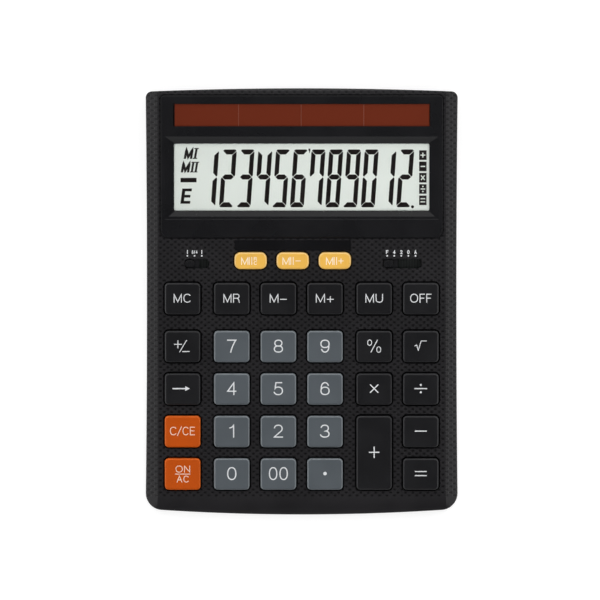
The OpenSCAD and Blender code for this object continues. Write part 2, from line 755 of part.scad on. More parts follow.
// Two capacitors, two resistors and a diode under the board
module board_components() color([0.15, 0.2, 0.45]) on_deck() {
    lift = 0.05;
    for (i = [0:1]) translate([14 + 9 * i, row_y(0) + 4, board_low - lift - 2.5])
        rotate([90, 0, 0]) cylinder(d = 5, h = 8);
    for (i = [0:2]) translate([-36 + 5 * i, row_y(0) + 2, board_low - lift - 0.95])
        rotate([90, 0, 0]) cylinder(d = 1.9, h = 4.5);
}

module battery_cell() color([0.35, 0.4, 0.45]) translate([cell_right - cell_len, cell_y, cell_z])
    rotate([0, 90, 0]) union() {
        cylinder(d = cell_dia, h = cell_len - cell_nub);
        cylinder(d = 5.5, h = cell_len);
    }

module battery_contact_plus() color(metal) {
    translate([bay_w / 2 - contact_t, cell_y - 5, cell_z - 5]) cube([contact_t, 10, 10]);
    translate([cell_right + 0.1, cell_y, cell_z]) rotate([0, 90, 0]) cylinder(d = 4, h = 0.6);
    contact_tab(bay_w / 2 - contact_t, 1);
}

// The tab that reaches through the bay's end wall to a wire
module contact_tab(x, dir) {
    reach = bay_wall + 1.6;
    translate([dir > 0 ? x : x - reach, cell_y - 0.8, bay_top - 2.2]) cube([reach + contact_t, 1.6, 0.4]);
    translate([x, cell_y - 0.8, cell_z + 4]) cube([contact_t, 1.6, bay_top - 2 - cell_z - 4]);
}

// A cone-shaped coil spring on a plate
module battery_contact_minus() color(metal) {
    left = -bay_w / 2;
    turns = 3;
    rings = 44;
    coil_r = 0.3;
    length = cell_right - cell_len - left - contact_t;
    route = [for (i = [0:rings]) let (t = i / rings, a = 360 * turns * t, r = 4.6 - 2.2 * t)
        [left + contact_t + coil_r * 0.6 + (length - coil_r * 1.8) * t,
         cell_y + r * cos(a), cell_z + r * sin(a)]];
    translate([left, cell_y - 6, cell_z - 6]) cube([contact_t, 12, 12]);
    wire(route, coil_r, 6);
    contact_tab(left, -1);
}

// A round wire swept along a list of points
function unit(v) = v / norm(v);
module wire(points, r, sides) {
    n = len(points);
    function heading(i) = unit(points[min(i + 1, n - 1)] - points[max(i - 1, 0)]);
    function across_of(i) = unit(cross(heading(i), abs(heading(i)[2]) < 0.8 ? [0, 0, 1] : [1, 0, 0]));
    verts = [for (i = [0:n - 1]) let (u = across_of(i), w = cross(heading(i), u))
        for (k = [0:sides - 1]) points[i] + r * (cos(360 * k / sides) * u + sin(360 * k / sides) * w)];
    faces = concat(
        [[for (k = [0:sides - 1]) k]],
        [for (i = [0:n - 2], k = [0:sides - 1]) let (a = i * sides, j = (k + 1) % sides)
            each [[a + k, a + sides + k, a + sides + j], [a + k, a + sides + j, a + j]]],
        [[for (k = [sides - 1:-1:0]) (n - 1) * sides + k]]);
    polyhedron(verts, faces);
}

// A smooth route through hand-chosen points
function smooth(p, steps) = [for (i = [0:len(p) - 2], s = [0:steps - 1])
    let (a = p[max(i - 1, 0)], b = p[i], c = p[i + 1], d = p[min(i + 2, len(p) - 1)], t = s / steps)
    0.5 * (2 * b + (c - a) * t + (2 * a - 5 * b + 4 * c - d) * t * t + (3 * b - a - 3 * c + d) * t * t * t)];

module battery_wires() color([0.7, 0.1, 0.1]) for (s = [-1, 1]) {
    tab = s * (bay_w / 2 + bay_wall + 1);
    front = cell_y - bay_d / 2 - bay_wall;
    x = s * battery_wire_x;
    last = from_slope(deck_slope, -8, board_low);
    wire(concat(smooth([
        [tab, cell_y, bay_top - 1.3], [tab + s * 2, cell_y - 4, bay_top - 1.5],
        [tab + s * 3, front - 5, wire_z + wire_drop], [x + s * 6, (front + crease_y) / 2, wire_z],
        [x + s * 2, (front + 3 * last[0]) / 4, wire_z],
        [x, last[0] - 1, last[1] - wire_drop], [x, last[0], last[1] - wire_lift]], 4),
        [[x, last[0], last[1] - wire_lift]]), wire_r, 6);
}

module solar_wires() color([0.15, 0.15, 0.6]) for (i = [0, 1]) {
    start = from_slope(head_slope, solar_back - 2 - 3 * i, -bezel_sunk - solar_t);
    last = from_slope(deck_slope, -8 - 2 * i, board_low);
    x = solar_wire_x + 2.2 * i;
    middle = (start[0] + last[0]) / 2;
    wire(concat(smooth([
        [x, start[0], start[1] - wire_lift], [x, start[0], start[1] - 2],
        [x, start[0] - 6, start[1] - 7], [x - 4, middle + 2, wire_z + wire_drop],
        [x - 9, (middle + last[0]) / 2, wire_z],
        [x - 10, last[0] + 1, last[1] - wire_drop], [x - 10, last[0], last[1] - wire_lift]], 4),
        [[x - 10, last[0], last[1] - wire_lift]]), wire_r, 6);
}

module case_screws() color(metal) for (b = BOSSES) translate([b[0], b[1], head_seat]) {
    cylinder(d = screw_dia, h = screw_len);
    difference() {
        translate([0, 0, -screw_head_t]) cylinder(d = screw_head_dia, h = screw_head_t);
        for (a = [0, 90]) rotate(a) translate([-1.5, -0.35, -screw_head_t - overcut])
            cube([3, 0.7, overcut + 0.8]);
    }
}

module board_screws() color(metal) on_deck() for (p = board_posts)
    translate([p[0], p[1], board_low]) {
        cylinder(d = board_screw_dia, h = board_screw_len);
        translate([0, 0, -board_head_t]) cylinder(d = board_head_dia, h = board_head_t);
    }

module rubber_feet() color([0.2, 0.2, 0.2])
    for (x = [-foot_x, foot_x], y = [-foot_y, foot_y]) translate([x, y, 0]) {
        cylinder(d1 = foot_dia - 1.5, d2 = foot_dia, h = 0.75);
        translate([0, 0, 0.75]) cylinder(d = foot_dia, h = foot_h + foot_sunk - 0.75);
    }

// A switch's knob, standing through its slot from a flange under the deck
module switch_knob(x, corner) on_deck() translate([x, -switch_at, 0]) {
    low = flange_top - knob_flange_t / 2;
    difference() {
        plate(knob_w, knob_d, low, knob_rise - low, corner);
        for (i = [-1:1]) slab(0.4, -knob_d, knob_d, knob_rise - 0.25, knob_rise + overcut);
    }
    plate(knob_flange_w, knob_flange_d, flange_top - knob_flange_t, knob_flange_t, 1);
}

// The sprung strip that bridges the board's pads under a knob
module switch_wiper(x) on_deck() translate([x, -switch_at, 0]) {
    top = flange_top - knob_flange_t;
    low = board_top + 0.05;
    half = wiper_w / 2;
    rotate([90, 0, 0]) linear_extrude(wiper_d, center = true) polygon([
        [-half, top], [half, top], [half, top - wiper_t], [1.1, low + wiper_t], [0.9, low],
        [0.5, low], [half - 1, top - wiper_t], [-half + 1, top - wiper_t], [-0.5, low],
        [-0.9, low], [-1.1, low + wiper_t], [-half, top - wiper_t]]);
}

module rounding_switch_knob() color(key_black) switch_knob(rounding_rest, 1.6);
module rounding_switch_wiper() color(metal) switch_wiper(rounding_rest);
module decimal_switch_knob() color(key_black) switch_knob(decimal_rest, 0.9);
module decimal_switch_wiper() color(metal) switch_wiper(decimal_rest);

// A key cap's profile: upright, then drafted, then chamfered to its rim
function cap_profile(half) = let (
        right = [[half, flange_low - overcut], [half, 0], [half - cap_draft, key_rise - cap_chamfer],
                 [half - cap_draft - cap_chamfer, key_rise]])
    concat(right, [for (i = [3:-1:0]) [-right[i][0], right[i][1]]]);

// A hollow key cap with its flange and its post, centred on the key's own place
module key_cap(w, d, r) {
    dish_r = min(w, d) / 2 - dish_border;
    ball = (dish_r * dish_r + dish_depth * dish_depth) / (2 * dish_depth);
    inner_top = key_rise - cap_top_t;
    difference() {
        union() {
            intersection() {
                plate(w, d, flange_low, key_rise - flange_low, r);
                rotate([90, 0, 0]) linear_extrude(2 * d, center = true) polygon(cap_profile(w / 2));
                across(2 * w) polygon(cap_profile(d / 2));
            }
            plate(w + 2 * flange_w, d + 2 * flange_w, flange_low, flange_t, r + flange_w);
        }
        plate(w - 2 * cap_wall, d - 2 * cap_wall, flange_low - overcut,
              inner_top - flange_low + overcut, r / 2);
        translate([0, 0, key_rise - dish_depth + ball]) sphere(r = ball, $fn = 96);
    }
    translate([0, 0, flange_low]) cylinder(d = post_dia, h = inner_top + 0.2 - flange_low);
}

// Whether a key's name is in a list of names
function listed(name, names) = len([for (n = names) if (n == name) n]) > 0;
function key_colour(name) =
    listed(name, GREY_KEYS) ? key_grey : listed(name, ORANGE_KEYS) ? key_orange : key_black;

module main_key(k) color(key_colour(k[0])) on_deck()
    translate([column_x(k[1]), row_y(k[2]), 0]) key_cap(key_w, key_d, key_r);

module key_plus() color(key_black) on_deck()
    translate([column_x(4), plus_y, 0]) key_cap(key_w, plus_d, key_r);

module small_key(k) color(key_yellow) on_deck()
    translate([small_x(k[1]), -small_row, 0]) key_cap(small_key_w, small_key_d, small_key_r);

top_case();
bottom_case();
display_bezel();
lcd_window();
lcd_glass();
lcd_reflector();
lcd_retainer();
lcd_flex();
solar_cell();
label_strip();
rubber_keypad();
keyboard_board();
main_chip();
board_components();
battery_cell();
battery_contact_plus();
battery_contact_minus();
battery_door();
battery_wires();
solar_wires();
case_screws();
board_screws();
rubber_feet();
rounding_switch_knob();
rounding_switch_wiper();
decimal_switch_knob();
decimal_switch_wiper();
key_plus();
for (k = KEYS) main_key(k);
for (k = SMALL_KEYS) small_key(k);
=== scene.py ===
import json
import math

import bmesh
import bpy
import numpy as np
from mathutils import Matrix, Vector
from mathutils.geometry import delaunay_2d_cdt

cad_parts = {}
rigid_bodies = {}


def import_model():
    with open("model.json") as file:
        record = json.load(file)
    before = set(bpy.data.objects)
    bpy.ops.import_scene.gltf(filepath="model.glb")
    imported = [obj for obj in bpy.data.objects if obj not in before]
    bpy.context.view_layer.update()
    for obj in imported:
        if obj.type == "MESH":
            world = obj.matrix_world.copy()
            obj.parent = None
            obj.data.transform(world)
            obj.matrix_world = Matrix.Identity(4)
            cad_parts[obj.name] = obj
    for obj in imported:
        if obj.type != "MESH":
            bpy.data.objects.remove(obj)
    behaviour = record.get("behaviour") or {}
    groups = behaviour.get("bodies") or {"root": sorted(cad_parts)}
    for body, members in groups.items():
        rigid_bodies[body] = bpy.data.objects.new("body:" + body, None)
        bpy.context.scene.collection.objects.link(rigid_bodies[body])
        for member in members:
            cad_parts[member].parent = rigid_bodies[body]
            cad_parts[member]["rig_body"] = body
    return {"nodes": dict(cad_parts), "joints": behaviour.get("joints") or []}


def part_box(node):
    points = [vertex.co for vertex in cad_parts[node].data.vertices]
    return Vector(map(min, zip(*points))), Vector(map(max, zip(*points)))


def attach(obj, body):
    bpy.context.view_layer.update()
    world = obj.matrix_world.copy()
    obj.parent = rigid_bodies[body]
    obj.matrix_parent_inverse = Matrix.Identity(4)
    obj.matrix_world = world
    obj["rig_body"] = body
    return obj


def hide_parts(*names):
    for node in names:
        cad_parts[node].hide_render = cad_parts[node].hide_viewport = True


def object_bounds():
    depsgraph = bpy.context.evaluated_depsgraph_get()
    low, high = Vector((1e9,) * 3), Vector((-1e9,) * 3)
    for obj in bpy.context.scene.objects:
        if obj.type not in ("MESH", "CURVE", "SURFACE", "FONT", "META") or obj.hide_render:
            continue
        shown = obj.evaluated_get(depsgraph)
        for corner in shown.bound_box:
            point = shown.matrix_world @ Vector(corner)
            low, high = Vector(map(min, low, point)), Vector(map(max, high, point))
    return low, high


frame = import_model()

for stray in [o for o in bpy.data.objects if o.type != "EMPTY" and "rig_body" not in o]:
    bpy.data.objects.remove(stray)
cad_low, cad_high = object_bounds()

MM = 0.001


# ---------------------------------------------------------------- camera, light and floor

VIEW_SIDE = 0.2844           # what the picture takes in, in metres
VIEW_LEVEL = 0.020           # at this height above the table
VIEW_AIM = (-0.0008, 0.00078)

camera_data = bpy.data.cameras.new("camera")
camera_data.lens = 1000
camera_data.sensor_width = 36
camera_data.clip_start, camera_data.clip_end = 0.1, 20
camera = bpy.data.objects.new("camera", camera_data)
camera.location = (*VIEW_AIM, VIEW_LEVEL + VIEW_SIDE * camera_data.lens / camera_data.sensor_width)
bpy.context.scene.collection.objects.link(camera)
bpy.context.scene.camera = camera
bpy.context.scene.view_settings.view_transform = "Standard"


WHITE = (1, 1, 1, 1)


def srgb(r, g, b):
    """A colour given as 0 to 255 in sRGB, as the linear colour that a socket takes."""
    return tuple((c / 255 / 12.92 if c / 255 <= 0.04045 else ((c / 255 + 0.055) / 1.055) ** 2.4)
                 for c in (r, g, b)) + (1,)


class Tree:
    """A node tree with short calls that add and join nodes."""

    def __init__(self, owner):
        owner.use_nodes = True
        self.nodes, self.links = owner.node_tree.nodes, owner.node_tree.links

    def put(self, kind, *inputs, **settings):
        """Adds a node. Inputs are joined or set in order: a node stands for its first output, None leaves the
        input as it is. Settings are the node's own."""
        node = self.nodes.new(kind)
        for key, value in settings.items():
            setattr(node, key, value)
        for i, value in enumerate(inputs):
            self.give(node.inputs[i], value)
        return node

    def give(self, socket, value):
        if isinstance(value, bpy.types.NodeSocket):
            self.links.new(value, socket)
        elif isinstance(value, bpy.types.Node):
            self.links.new(value.outputs[0], socket)
        elif value is not None:
            socket.default_value = value

    def math(self, operation, a, b=None, c=None, clamp=False):
        return self.put("ShaderNodeMath", a, b, c, operation=operation, use_clamp=clamp)

    def ramp(self, value, low, high, to_low=0.0, to_high=1.0):
        """A smooth step from one value to another."""
        return self.put("ShaderNodeMapRange", value, low, high, to_low, to_high,
                        interpolation_type="SMOOTHSTEP")

    def blend(self, share, a, b):
        node = self.put("ShaderNodeMix", data_type="RGBA")
        self.give(node.inputs[0], share)
        self.give(node.inputs[6], a)
        self.give(node.inputs[7], b)
        return node.outputs[2]


HORIZON = (0.1, 0.45, 1.7, 0.02)   # the glow falls from the third to the fourth between these heights
HORIZON_REAR = 0.6           # how much weaker the glow is in front than behind
RING = (0.1, 0.2, 0.34, 0.5)  # heights between which a second ring of light comes in and goes out
RING_LIGHT = 1.1
RING_SIDES = (-0.3, 0.7, 0.45)     # how the ring gains strength to the right and to the rear, and its middle


def make_world():
    """White to the camera. To all else a bright horizon, most of all behind, and above it a ring of light
    that is brightest behind and to the left."""
    world = bpy.data.worlds.new("studio")
    bpy.context.scene.world = world
    t = Tree(world)
    t.nodes.clear()
    towards = t.put("ShaderNodeTexCoord").outputs["Generated"]
    across, along, height = t.put("ShaderNodeSeparateXYZ", towards).outputs
    glow = t.math("MULTIPLY", t.ramp(height, *HORIZON),
                  t.math("MULTIPLY_ADD", along, HORIZON_REAR, 1.0, clamp=True))
    to_right, to_rear, middle = RING_SIDES
    side = t.math("MULTIPLY_ADD", across, to_right, t.math("MULTIPLY_ADD", along, to_rear, middle), clamp=True)
    ring = t.math("MULTIPLY", t.ramp(height, *RING[:2]), t.ramp(height, *RING[2:], 1.0, 0.0))
    lobe = t.math("MULTIPLY", side, ring)
    light = t.put("ShaderNodeBackground", WHITE, t.math("MULTIPLY_ADD", lobe, RING_LIGHT, glow))
    white = t.put("ShaderNodeBackground", WHITE, 1.0)
    rays = t.put("ShaderNodeLightPath")
    mix = t.put("ShaderNodeMixShader", rays.outputs["Is Camera Ray"], light, white)
    t.put("ShaderNodeOutputWorld", mix)


def make_lamp(name, location, target, size, power, glossy=True):
    """A soft rectangular lamp that faces a target; glossy says whether reflections show it."""
    data = bpy.data.lights.new(name, "AREA")
    data.shape = "RECTANGLE"
    data.size, data.size_y = size
    data.energy = power
    lamp = bpy.data.objects.new(name, data)
    lamp.location = location
    lamp.rotation_euler = (Vector(target) - Vector(location)).to_track_quat("-Z", "Y").to_euler()
    lamp.visible_glossy = glossy
    bpy.context.scene.collection.objects.link(lamp)


FLOOR_R = 6.0                # half the side of the floor, in metres
FLOOR_GREY, FLOOR_FAINT, FLOOR_GLOW = (0.86, 0.86, 0.86, 1), (0.45, 0.45, 0.45, 1), 0.72


def make_floor():
    """Pale and plain to the object; near white to the camera, and still with the object's shadow."""
    mesh = bpy.data.meshes.new("floor")
    r = FLOOR_R
    mesh.from_pydata([(-r, -r, 0), (r, -r, 0), (r, r, 0), (-r, r, 0)], [], [(0, 1, 2, 3)])
    floor = bpy.data.objects.new("floor", mesh)
    bpy.context.scene.collection.objects.link(floor)
    paint = bpy.data.materials.new("floor_white")
    t = Tree(paint)
    t.nodes.clear()
    plain = t.put("ShaderNodeBsdfDiffuse", FLOOR_GREY)
    faint = t.put("ShaderNodeBsdfDiffuse", FLOOR_FAINT)
    glow = t.put("ShaderNodeEmission", WHITE, FLOOR_GLOW)
    both = t.put("ShaderNodeAddShader", faint, glow)
    rays = t.put("ShaderNodeLightPath")
    seen = t.math("MAXIMUM", rays.outputs["Is Camera Ray"],
                  t.math("MAXIMUM", rays.outputs["Is Glossy Ray"], rays.outputs["Is Transmission Ray"]))
    t.put("ShaderNodeOutputMaterial", t.put("ShaderNodeMixShader", seen, plain, both))
    mesh.materials.append(paint)


make_world()
make_lamp("overhead", (0, 0, 1.6), (0, 0, 0), (1.6, 1.6), 23.4, glossy=False)
make_lamp("rear", (0, 0.95, 1.3), (0, 0, 0.02), (1.4, 0.4), 1.8)
make_lamp("right", (0.17, -0.01, 0.2), (0.07, -0.01, 0), (0.06, 0.2), 0.06, glossy=False)
make_floor()


# ---------------------------------------------------------------- the deck's and the head's own frames

class Slope:
    """A sloped frame in millimetres: u across, v up the slope, w along its normal."""

    def __init__(self, angle, y0, z0):
        self.c, self.s, self.y0, self.z0 = math.cos(angle), math.sin(angle), y0, z0
        self.normal = np.array((0, -self.s, self.c))

    def out(self, p):
        """Points of this frame as points of the model."""
        u, v, w = np.moveaxis(np.asarray(p, float), -1, 0)
        return np.stack((u, self.y0 + v * self.c - w * self.s, self.z0 + v * self.s + w * self.c), -1)

    def into(self, p):
        """Points of the model as points of this frame."""
        x, y, z = np.moveaxis(np.asarray(p, float), -1, 0)
        y, z = y - self.y0, z - self.z0
        return np.stack((x, y * self.c + z * self.s, -y * self.s + z * self.c), -1)

    def lift(self, uv, w=0.0):
        """Points of this frame's plane, raised to w, as points of the model."""
        uv = np.asarray(uv, float)
        return self.out(np.column_stack((uv, np.broadcast_to(w, len(uv)))))


def faces_of(node):
    """Normals, areas and offsets along the normal, in millimetres, of a CAD node's faces."""
    polygons = frame["nodes"][node].data.polygons
    normals = np.array([p.normal for p in polygons])
    centres = np.array([p.center for p in polygons]) / MM
    return normals, np.array([p.area for p in polygons]), (normals * centres).sum(1)


def surface_offset(normal):
    """How far the case's outermost face with this normal is from the origin."""
    normals, _, offsets = faces_of("top_case")
    return offsets[normals @ normal > 0.99999].max()


def find_slopes():
    """The frames of the key deck and of the display head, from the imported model."""
    press = next(j for j in frame["joints"] if j["name"] == "key_7_press")["axis"]
    deck_angle = math.asin(press[1])
    normals, areas, _ = faces_of("display_bezel")
    up = normals[:, 2] > 0.9
    steps = np.round(normals[up], 4)
    kinds, which = np.unique(steps, axis=0, return_inverse=True)
    best = kinds[np.argmax(np.bincount(which.ravel(), weights=areas[up]))]
    head_angle = math.asin(-best[1])
    rows = [(-math.sin(a), math.cos(a)) for a in (deck_angle, head_angle)]
    sides = [surface_offset(np.array((0, *row))) for row in rows]
    y0, z0 = np.linalg.solve(np.array(rows), np.array(sides))
    return Slope(deck_angle, y0, z0), Slope(head_angle, y0, z0)


DECK, HEAD = find_slopes()


def points_of(mesh, slope):
    """A mesh's points in a sloped frame."""
    return slope.into(np.array([v.co for v in mesh.vertices]) / MM)


def span(node, slope, above=-1e9, under=1e9):
    """Lowest and highest corner of a CAD node in a sloped frame, from its points between two levels."""
    p = points_of(frame["nodes"][node].data, slope)
    p = p[(p[:, 2] > above) & (p[:, 2] < under)]
    return p.min(0), p.max(0)


def travel(joint):
    """How far a joint slides, in millimetres."""
    low, high = next(j for j in frame["joints"] if j["name"] == joint)["range_m"]
    return (high - low) / MM


# Sizes of the case, in millimetres
CASE_W = (cad_high.x - cad_low.x) / MM
CASE_D = (cad_high.y - cad_low.y) / MM
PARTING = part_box("top_case")[0].z / MM
WALL = 2.4
BEVEL_W, BEVEL_SLOPE = 5.8, math.tan(math.radians(42))
BEVEL_STEP = math.tan(math.radians(21))
BEVEL_SOFT = 0.3             # half the width of the rounding at the bevel's inner edge
WAIST, WAIST_Y = 0.6, 8
FRONT_BOW, REAR_BOW = 2.7, 1.6
FRONT_R, REAR_R = 8, 3
FRONT_ROLL_R, FRONT_ROLL_W = 16, 8.5
REAR_ROLL_R, REAR_STEEP = 3, math.radians(25)
HEAD_D = CASE_D / 2 - DECK.y0
DECK_LEN = (CASE_D - HEAD_D) / DECK.c
FRONT_ROLL_V = -DECK_LEN + FRONT_ROLL_W / DECK.c
REAR_ROLL_V = (HEAD_D - REAR_ROLL_R * (1 + HEAD.s)) / HEAD.c
CAP_FROM = -1.5              # what a key or a knob has above this level is its cap
KEY_GAP, KNOB_GAP = 0.5, (0.35, 0.45)
KEY_R, SMALL_KEY_R = 2, 3
SLOT_R = 1.6
FIT = 0.15
BEZEL_GAP = 0.4
BEZEL_FRONT_R, BEZEL_REAR_R = 3.4, 1.5
POCKET = 1.4                 # depth of the pocket under the bezel
TUB_FROM = -1.6              # what the bezel has under this level is its tub
EDGE_R = 0.5                 # rounding of the case's outer edge
MOUTH_R, SMALL_MOUTH_R, LABEL_MOUTH_R = 0.25, 0.07, 0.04   # rounding of an opening's edge
LABEL_R = 0.45
ROUND_STEPS, END_STEPS = 4, 10


# ---------------------------------------------------------------- building meshes

class Build:
    """Points and faces of one piece, in millimetres."""

    def __init__(self):
        self.points, self.faces, self.kinds, self.count = [], [], [], 0

    def add(self, points, faces, kind=0):
        """Kind is the number of the faces' material."""
        faces = faces.tolist() if isinstance(faces, np.ndarray) else faces
        self.points.append(np.asarray(points, float))
        self.kinds += [kind] * len(faces)
        self.faces += [[self.count + i for i in f] for f in faces]
        self.count += len(points)

    def strip(self, a, b, kind=0):
        """Quads between two closed rings."""
        n = len(a)
        self.add(np.vstack((a, b)), [(i, (i + 1) % n, n + (i + 1) % n, n + i) for i in range(n)], kind)

    def loft(self, rings, cap_first=True, cap_last=True):
        """A skin over closed rings of equal length, with flat caps."""
        n = len(rings[0])
        faces = [(r * n + i, r * n + (i + 1) % n, (r + 1) * n + (i + 1) % n, (r + 1) * n + i)
                 for r in range(len(rings) - 1) for i in range(n)]
        if cap_first:
            faces.append(list(range(n))[::-1])
        if cap_last:
            faces.append([(len(rings) - 1) * n + i for i in range(n)])
        self.add(np.vstack(rings), faces)

    def hoop(self, rings):
        """A skin over closed rings whose last one meets the first."""
        self.loft(rings, False, False)
        self.strip(rings[-1], rings[0])

    def finish(self, name, materials, body, slot=None, replaces=(), sharp=36, merge=2e-4):
        """Makes the object, welds points closer than merge, smooths edges up to the sharp angle and rides the
        object on a body."""
        mesh = bpy.data.meshes.new(name)
        mesh.from_pydata((np.vstack(self.points) * MM).tolist(), [], self.faces)
        mesh.polygons.foreach_set("material_index", self.kinds)
        bm = bmesh.new()
        bm.from_mesh(mesh)
        bmesh.ops.delete(bm, geom=[v for v in bm.verts if not v.link_faces], context="VERTS")
        bmesh.ops.remove_doubles(bm, verts=bm.verts, dist=merge * MM)
        bmesh.ops.dissolve_degenerate(bm, edges=bm.edges, dist=1e-7)
        bmesh.ops.recalc_face_normals(bm, faces=bm.faces)
        limit = math.radians(sharp)
        for f in bm.faces:
            f.smooth = True
        for e in bm.edges:
            e.smooth = len(e.link_faces) == 2 and e.calc_face_angle(0) < limit
        bm.to_mesh(mesh)
        bm.free()
        for m in materials if isinstance(materials, list) else [materials]:
            mesh.materials.append(m)
        piece = bpy.data.objects.new(name, mesh)
        bpy.context.scene.collection.objects.link(piece)
        piece.modifiers.new("normals", "WEIGHTED_NORMAL").keep_sharp = True
        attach(piece, body)
        if replaces:
            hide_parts(*replaces)
        return piece


def arc(cx, cy, r, a0, a1, steps):
    """Points of a circle from one angle to another, in degrees."""
    a = np.radians(np.linspace(a0, a1, steps + 1))
    return np.column_stack((cx + r * np.cos(a), cy + r * np.sin(a)))


def round_box(low, high, front_r, rear_r=None, grow=0.0, steps=6, sides=1):
    """A closed outline with rounded corners, anticlockwise, grown by a distance."""
    rear_r = front_r if rear_r is None else rear_r
    (x0, y0), (x1, y1) = np.asarray(low[:2]) - grow, np.asarray(high[:2]) + grow
    f, r = max(front_r + grow, 0.02), max(rear_r + grow, 0.02)
    corners = [arc(x1 - r, y1 - r, r, 0, 90, steps), arc(x0 + r, y1 - r, r, 90, 180, steps),
               arc(x0 + f, y0 + f, f, 180, 270, steps), arc(x1 - f, y0 + f, f, 270, 360, steps)]
    out = []
    for i, corner in enumerate(corners):
        out.append(corner)
        start, end = corner[-1], corners[(i + 1) % 4][0]
        out += [(start + (end - start) * k / sides)[None] for k in range(1, sides)]
    return np.vstack(out)


def rounding(r, steps=ROUND_STEPS):
    """Inset and drop of each row of a quarter-round edge, from the wall to the face."""
    a = np.linspace(0, math.pi / 2, steps + 1)
    return list(zip(r * (1 - np.cos(a)), r * (1 - np.sin(a))))


def soft_top(r, top, steps=ROUND_STEPS):
    """Rows of a rounded upper edge: how far its outline grows, and its level."""
    return [(-inset, top - drop) for inset, drop in rounding(r, steps)]


def stack(slope, low, high, r, rows, steps=6, sides=1):
    """Rings round a box, one for each row: how far the outline grows, and its level."""
    return [slope.lift(round_box(low, high, r, grow=grow, steps=steps, sides=sides), level)
            for grow, level in rows]


def side_x(y):
    """Half-width of the case at y."""
    return CASE_W / 2 - WAIST * (1 - ((y - WAIST_Y) / (CASE_D / 2 - FRONT_R + WAIST_Y)) ** 2)


def case_end(g, end, bow, r):
    """Half of one end of the case's outline, drawn in by g, from the middle to the side."""
    cx = side_x(end * (CASE_D / 2 - r)) - r
    lean = math.atan(2 * bow * cx / (CASE_W / 2) ** 2)
    rg, reach = r - g, CASE_D / 2 - g
    tx = cx + rg * math.sin(lean)
    cy = reach - bow * (tx / (CASE_W / 2)) ** 2 - rg * math.cos(lean)
    x = np.linspace(0, tx, 2 * END_STEPS + 1)
    a = (math.pi / 2 - lean) * (1 - np.arange(1, END_STEPS + 1) / END_STEPS)
    return np.vstack((np.column_stack((x, end * (reach - bow * (x / (CASE_W / 2)) ** 2))),
                      np.column_stack((cx + rg * np.cos(a), end * (cy + rg * np.sin(a))))))


def case_outline(g):
    """The case's outline, drawn in by g."""
    front, rear = case_end(g, -1, FRONT_BOW, FRONT_R), case_end(g, 1, REAR_BOW, REAR_R)
    y = np.linspace(front[-1, 1], rear[-1, 1], 26)[1:-1]
    half = np.vstack((front, np.column_stack((side_x(y) - g, y)), rear[::-1]))
    return np.vstack((half, (half * (-1, 1))[-2:0:-1]))


def bevel_fall(x, g):
    """How far the side's bevel has fallen at x, with its inner edge rounded."""
    s = np.abs(x) - (CASE_W / 2 - BEVEL_W - g * BEVEL_STEP) + BEVEL_SOFT
    bend = np.where(s < 2 * BEVEL_SOFT, s * s / (4 * BEVEL_SOFT), s - BEVEL_SOFT)
    return BEVEL_SLOPE * np.where(s > 0, bend, 0)


def front_fall(v, g):
    """How far the deck's front has rolled down at v, and the same for the head's rear."""
    r = FRONT_ROLL_R - g
    return r - np.sqrt(r * r - np.clip(FRONT_ROLL_V - v, 0, r - 0.5) ** 2)


def rear_fall(v, g):
    s = v - REAR_ROLL_V
    r = max(REAR_ROLL_R - g, 0.3)
    end = r * math.cos(REAR_STEEP)
    return r - np.sqrt(r * r - np.clip(s, 0, end) ** 2) + np.maximum(s - end, 0) / math.tan(REAR_STEEP)


def both_falls(a, b):
    """Two falls joined with a soft edge."""
    return (a ** 5 + b ** 5) ** 0.2


def surface(xy, g=0.0):
    """Height of the case's outer face at points of the plan, or of a face g under it."""
    x, y = xy[:, 0], xy[:, 1]
    heights = []
    for slope, end_fall in ((DECK, front_fall), (HEAD, rear_fall)):
        w = np.full(len(x), -g)
        for _ in range(40):
            v = (y - slope.y0 + w * slope.s) / slope.c
            w = 0.4 * w - 0.6 * (g + both_falls(bevel_fall(x, g), end_fall(v, g)))
        heights.append(slope.z0 + v * slope.s + w * slope.c)
    return np.maximum(*heights)


def inside(points, loop):
    """Which points of the plan are inside a closed loop."""
    x, y = points[:, 0][:, None], points[:, 1][:, None]
    a, b = loop, np.roll(loop, -1, 0)
    dy = np.where(a[:, 1] == b[:, 1], 1e-12, b[:, 1] - a[:, 1])
    crosses = (a[:, 1] > y) != (b[:, 1] > y)
    return (crosses & (x < a[:, 0] + (y - a[:, 1]) * (b[:, 0] - a[:, 0]) / dy)).sum(1) % 2 == 1


def gap_to(points, loop):
    """Distance from points of the plan to a closed loop."""
    a, b = loop, np.roll(loop, -1, 0)
    d = b - a
    rel = points[:, None] - a
    t = np.clip((rel * d).sum(2) / np.maximum((d * d).sum(1), 1e-12), 0, 1)
    return np.sqrt(((rel - t[..., None] * d) ** 2).sum(2)).min(1)


def closed_edges(loops):
    """The points of closed loops in one list, and the edges between them."""
    coords, edges = [], []
    for loop in loops:
        n = len(coords)
        coords += list(loop)
        edges += [(n + i, n + (i + 1) % len(loop)) for i in range(len(loop))]
    return coords, edges


def divide(coords, edges, near):
    """Triangles between points and along edges: their points, the triangles and the triangles' middles, and for
    each point the input points it stands for."""
    points, _, faces, source, _, _ = delaunay_2d_cdt([Vector(c) for c in coords], edges, [], 0, near)
    xy, faces = np.array([tuple(p) for p in points]), np.array([list(f) for f in faces])
    return xy, faces, xy[faces].mean(1), source


